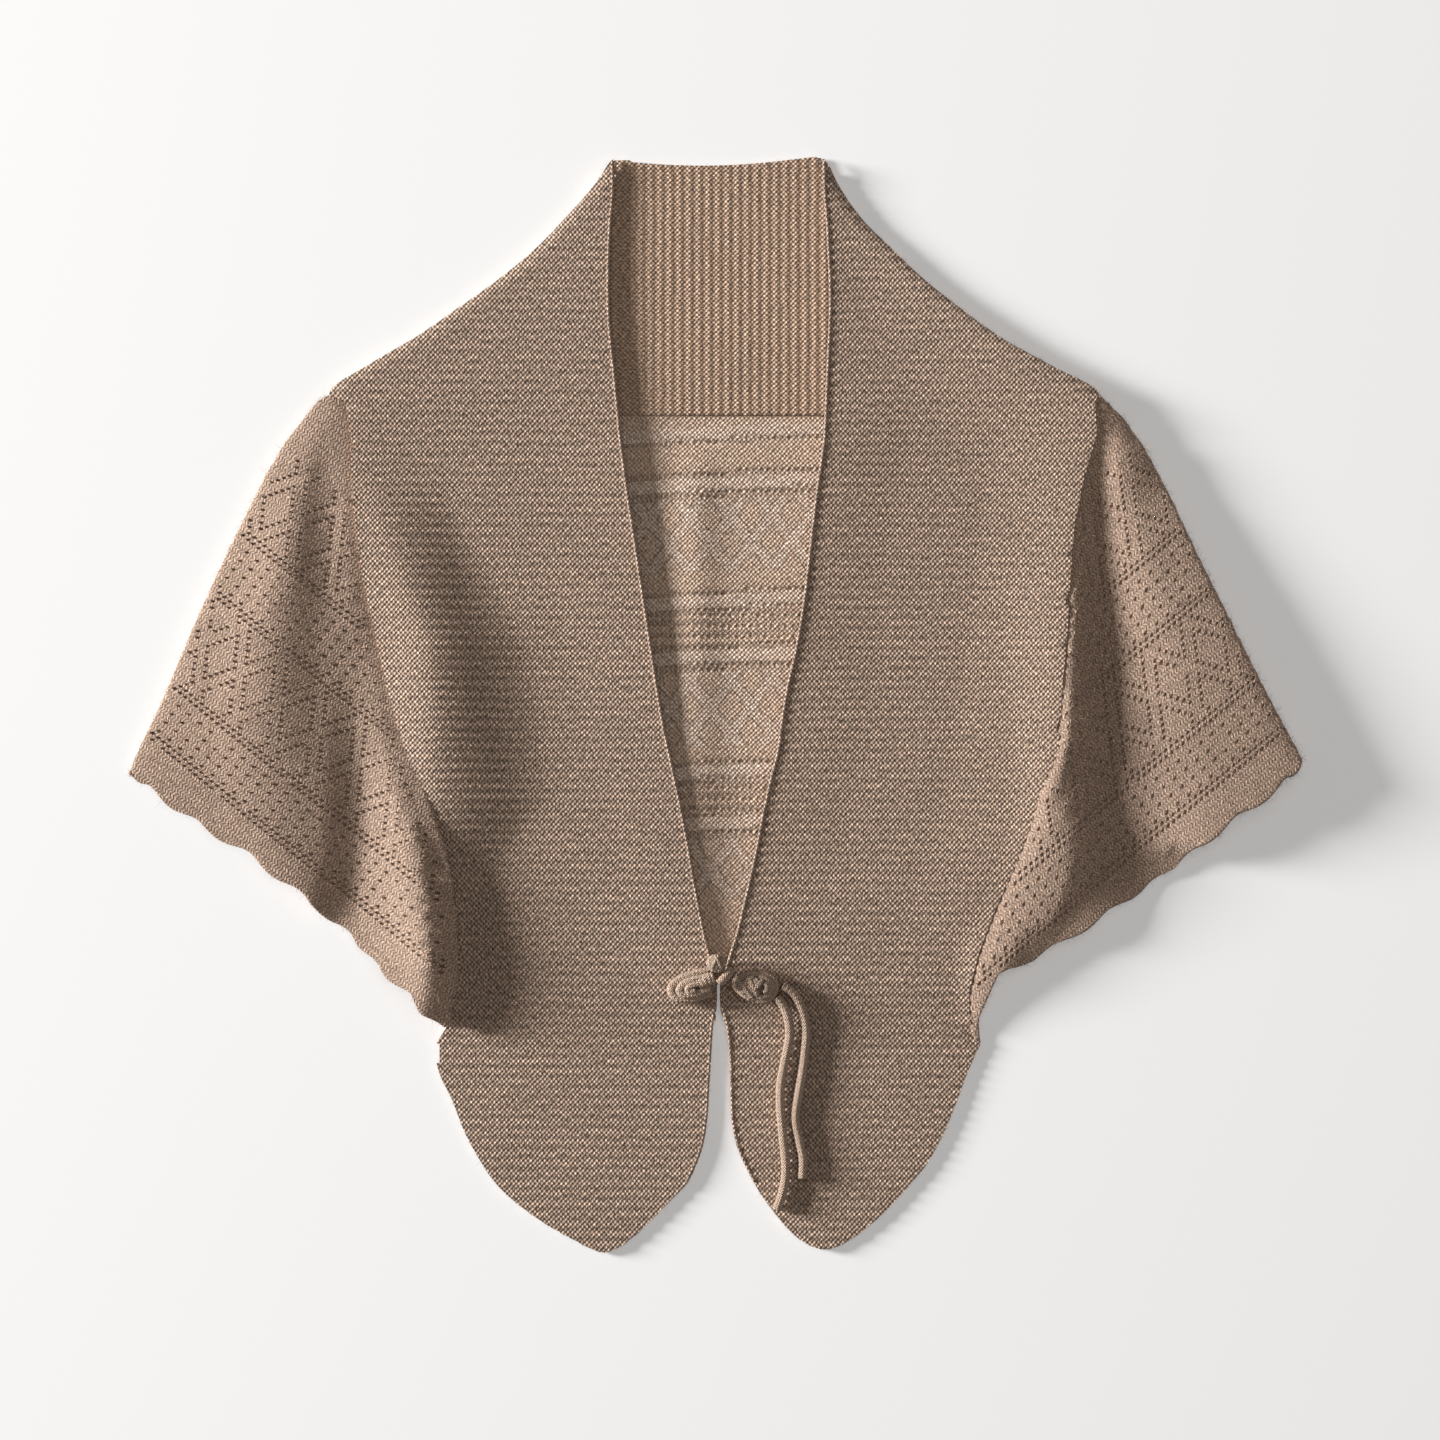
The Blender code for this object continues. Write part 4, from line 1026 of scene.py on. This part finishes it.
for side in ("left", "right"):
    node = f"wing_{side}"
    wing, outline = knit_over(f"{node}_lace", node, WING_ACROSS[side], EYELET_PITCH, EYELET_ROW,
                              shear=0.5, eyelet=lace(WING_BANDS, WING_EYELETS, LACE_SEED),
                              seam_side=SEAM_SIDE[side], gussets=GUSSETS[side])
    smooth_heights(wing, 4)
    raise_folds(wing)
    turn_down_folds(wing, node, outline, LACE_WALL)
    round_off(wing)
    print_area(wing)
    thicken(wing, LACE_WALL - 0.4 * MM)
    finish_piece(wing, lace_wool, "lace_wool", node)
    under, _ = knit_over(f"{node}_under_layer", node, WING_ACROSS[side], UNDER_CELL, UNDER_CELL)
    smooth_heights(under, 2)
    raise_folds(under)
    points = vertex_places(under)
    points[:, 2] = np.maximum(points[:, 2] - UNDER_DROP, UNDER_LOWEST)
    points[:, :2] += (points[:, :2].mean(axis=0) - points[:, :2]) * UNDER_SHRINK
    move_vertices(under, points)
    thicken(under, UNDER_WALL)
    finish_piece(under, lace_wool, "lace_wool")
    print_area(under)

# %% [markdown]
# The back of the lace lies flat, but for one soft fold down its middle, and it is seen through the open
# front. Its inner side shows: pale bars, rows of small pits, and diamonds in pale strips. The wool draws
# them, with painted shade in the pits and along the diamonds' borders, and the rows of pits are also sunk
# into the mesh.

# %% Back of the lace
BACK_HEM = -154.4 * MM
BACK_PIT = 0.7 * MM
BACK_EYELET = 0.2
OPENING_HALF_WIDTH = 75 * MM
BACK_FOLD = dict(x=-10.5 * MM, width=13 * MM, height=2.4 * MM, top=150 * MM, bottom=-140 * MM,
                 fade=40 * MM)


def back_pits(column, row, place, above_hem):
    """Where the back of the lace has its rows of small pits."""
    starts = np.array([start for start, _ in BACK_FIGURES]) * MM
    kinds = np.array(["plain"] + [kind for _, kind in BACK_FIGURES])
    kind = kinds[np.searchsorted(starts, above_hem + BACK_HEM - FIGURE_RISE * place)]
    is_pit = (kind == "line") | (kind == "dashes") & (row % 2 == 0)
    return np.where(is_pit & (np.abs(place) < OPENING_HALF_WIDTH), BACK_EYELET, 0)


back, _ = knit_over("back_lace_lace", "back_lace", (1, 0), EYELET_PITCH, EYELET_ROW, shear=0.5,
                    eyelet=back_pits, pit=BACK_PIT)
points = vertex_places(back)
swell = np.exp(-(((points[:, 0] - BACK_FOLD["x"]) / BACK_FOLD["width"]) ** 2))
fade_up = np.clip((BACK_FOLD["top"] - points[:, 1]) / BACK_FOLD["fade"], 0, 1)
fade_down = np.clip((points[:, 1] - BACK_FOLD["bottom"]) / BACK_FOLD["fade"], 0, 1)
points[:, 2] += BACK_FOLD["height"] * swell * (fade_up * fade_down)
move_vertices(back, points)
round_off(back)
print_area(back)
thicken(back, LACE_WALL - 0.3 * MM)
finish_piece(back, back_wool, "lace_wool", "back_lace")

# %% [markdown]
# Fine wool sheds a halo of fibres. Each one is a thin curled ribbon that starts on the cloth, and they
# stand thickest on the lace, where they soften the folds' edges. Each starts on a face picked by its
# number, and Blender numbers the faces of joined and extruded pieces in another order from run to run,
# so the seeds don't fix where the fibres of those pieces lie.

# %% Loose fibres
FIBRE_WIDTH = 0.15 * MM
FIBRE_STEPS = 4


def fibre_halo(name, source, count, length, seed):
    """Curled fibres that start on a piece, most where it has most cloth."""
    random = np.random.default_rng(seed)
    faces = source.data.polygons
    areas, middles, normals = np.empty(len(faces)), np.empty(len(faces) * 3), np.empty(len(faces) * 3)
    faces.foreach_get("area", areas)
    faces.foreach_get("center", middles)
    faces.foreach_get("normal", normals)
    chosen = random.choice(len(faces), count, p=areas / areas.sum())
    start, normal = middles.reshape(-1, 3)[chosen], normals.reshape(-1, 3)[chosen]
    normal[:, 2] = np.abs(normal[:, 2])
    way = random.normal(size=(count, 3)) * (1, 1, 0.5) + 0.6 * normal
    way /= np.linalg.norm(way, axis=1, keepdims=True)
    step = length * random.uniform(0.4, 1.2, (count, 1)) / FIBRE_STEPS
    side = np.cross(way, random.normal(size=(count, 3)))
    side /= np.linalg.norm(side, axis=1, keepdims=True)
    rungs, place = [], start + random.uniform(-1, 1, (count, 3)) * (MM, MM, 0)
    for k in range(FIBRE_STEPS + 1):
        half = FIBRE_WIDTH / 2 * (1 - 0.7 * k / FIBRE_STEPS)
        rungs += [place - side * half, place + side * half]
        way = way + 0.35 * random.normal(size=(count, 3))
        way /= np.linalg.norm(way, axis=1, keepdims=True)
        place = place + step * way
        place[:, 2] = np.maximum(place[:, 2], 0.2 * MM)
    points = np.stack(rungs, axis=1)
    steps = 2 * np.arange(FIBRE_STEPS)[:, None] + np.array((0, 1, 3, 2))
    corners = (np.arange(count) * 2 * (FIBRE_STEPS + 1))[:, None, None] + steps
    points = points.reshape(-1, 3)
    return mesh_piece(name, points, corners.reshape(-1, 4).tolist(), points[:, :2])


WOOLS = {
    "lace": (lace_wool, "lace_wool"), "garter": (garter_wool, "garter_wool"), "wool": (cord_wool, "cord_wool")
}
HALOS = [
    (0, "wing_left", "lace", 9000, 5.0),
    (1, "wing_right", "lace", 9000, 5.0),
    (2, "front_left", "garter", 5000, 3.5),
    (3, "front_right", "garter", 5000, 3.5),
    (4, "back_neck", "garter", 1200, 3.0),
    (10, "frog_knot_left", "wool", 220, 1.8),
    (11, "frog_knot_right", "wool", 220, 1.8),
    (12, "ball_button", "wool", 60, 1.8),
]
for seed, node, kind, count, length in HALOS:
    halo = fibre_halo(f"{node}_fibres", bpy.data.objects[f"{node}_{kind}"], count, length * MM, seed)
    finish_piece(halo, *WOOLS[kind])

# %% Measure and finish
low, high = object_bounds()
for title, corners in (("CAD", cad_box), ("visual", (low, high))):
    print(title, [[round(1000 * value, 1) for value in corner] for corner in corners])
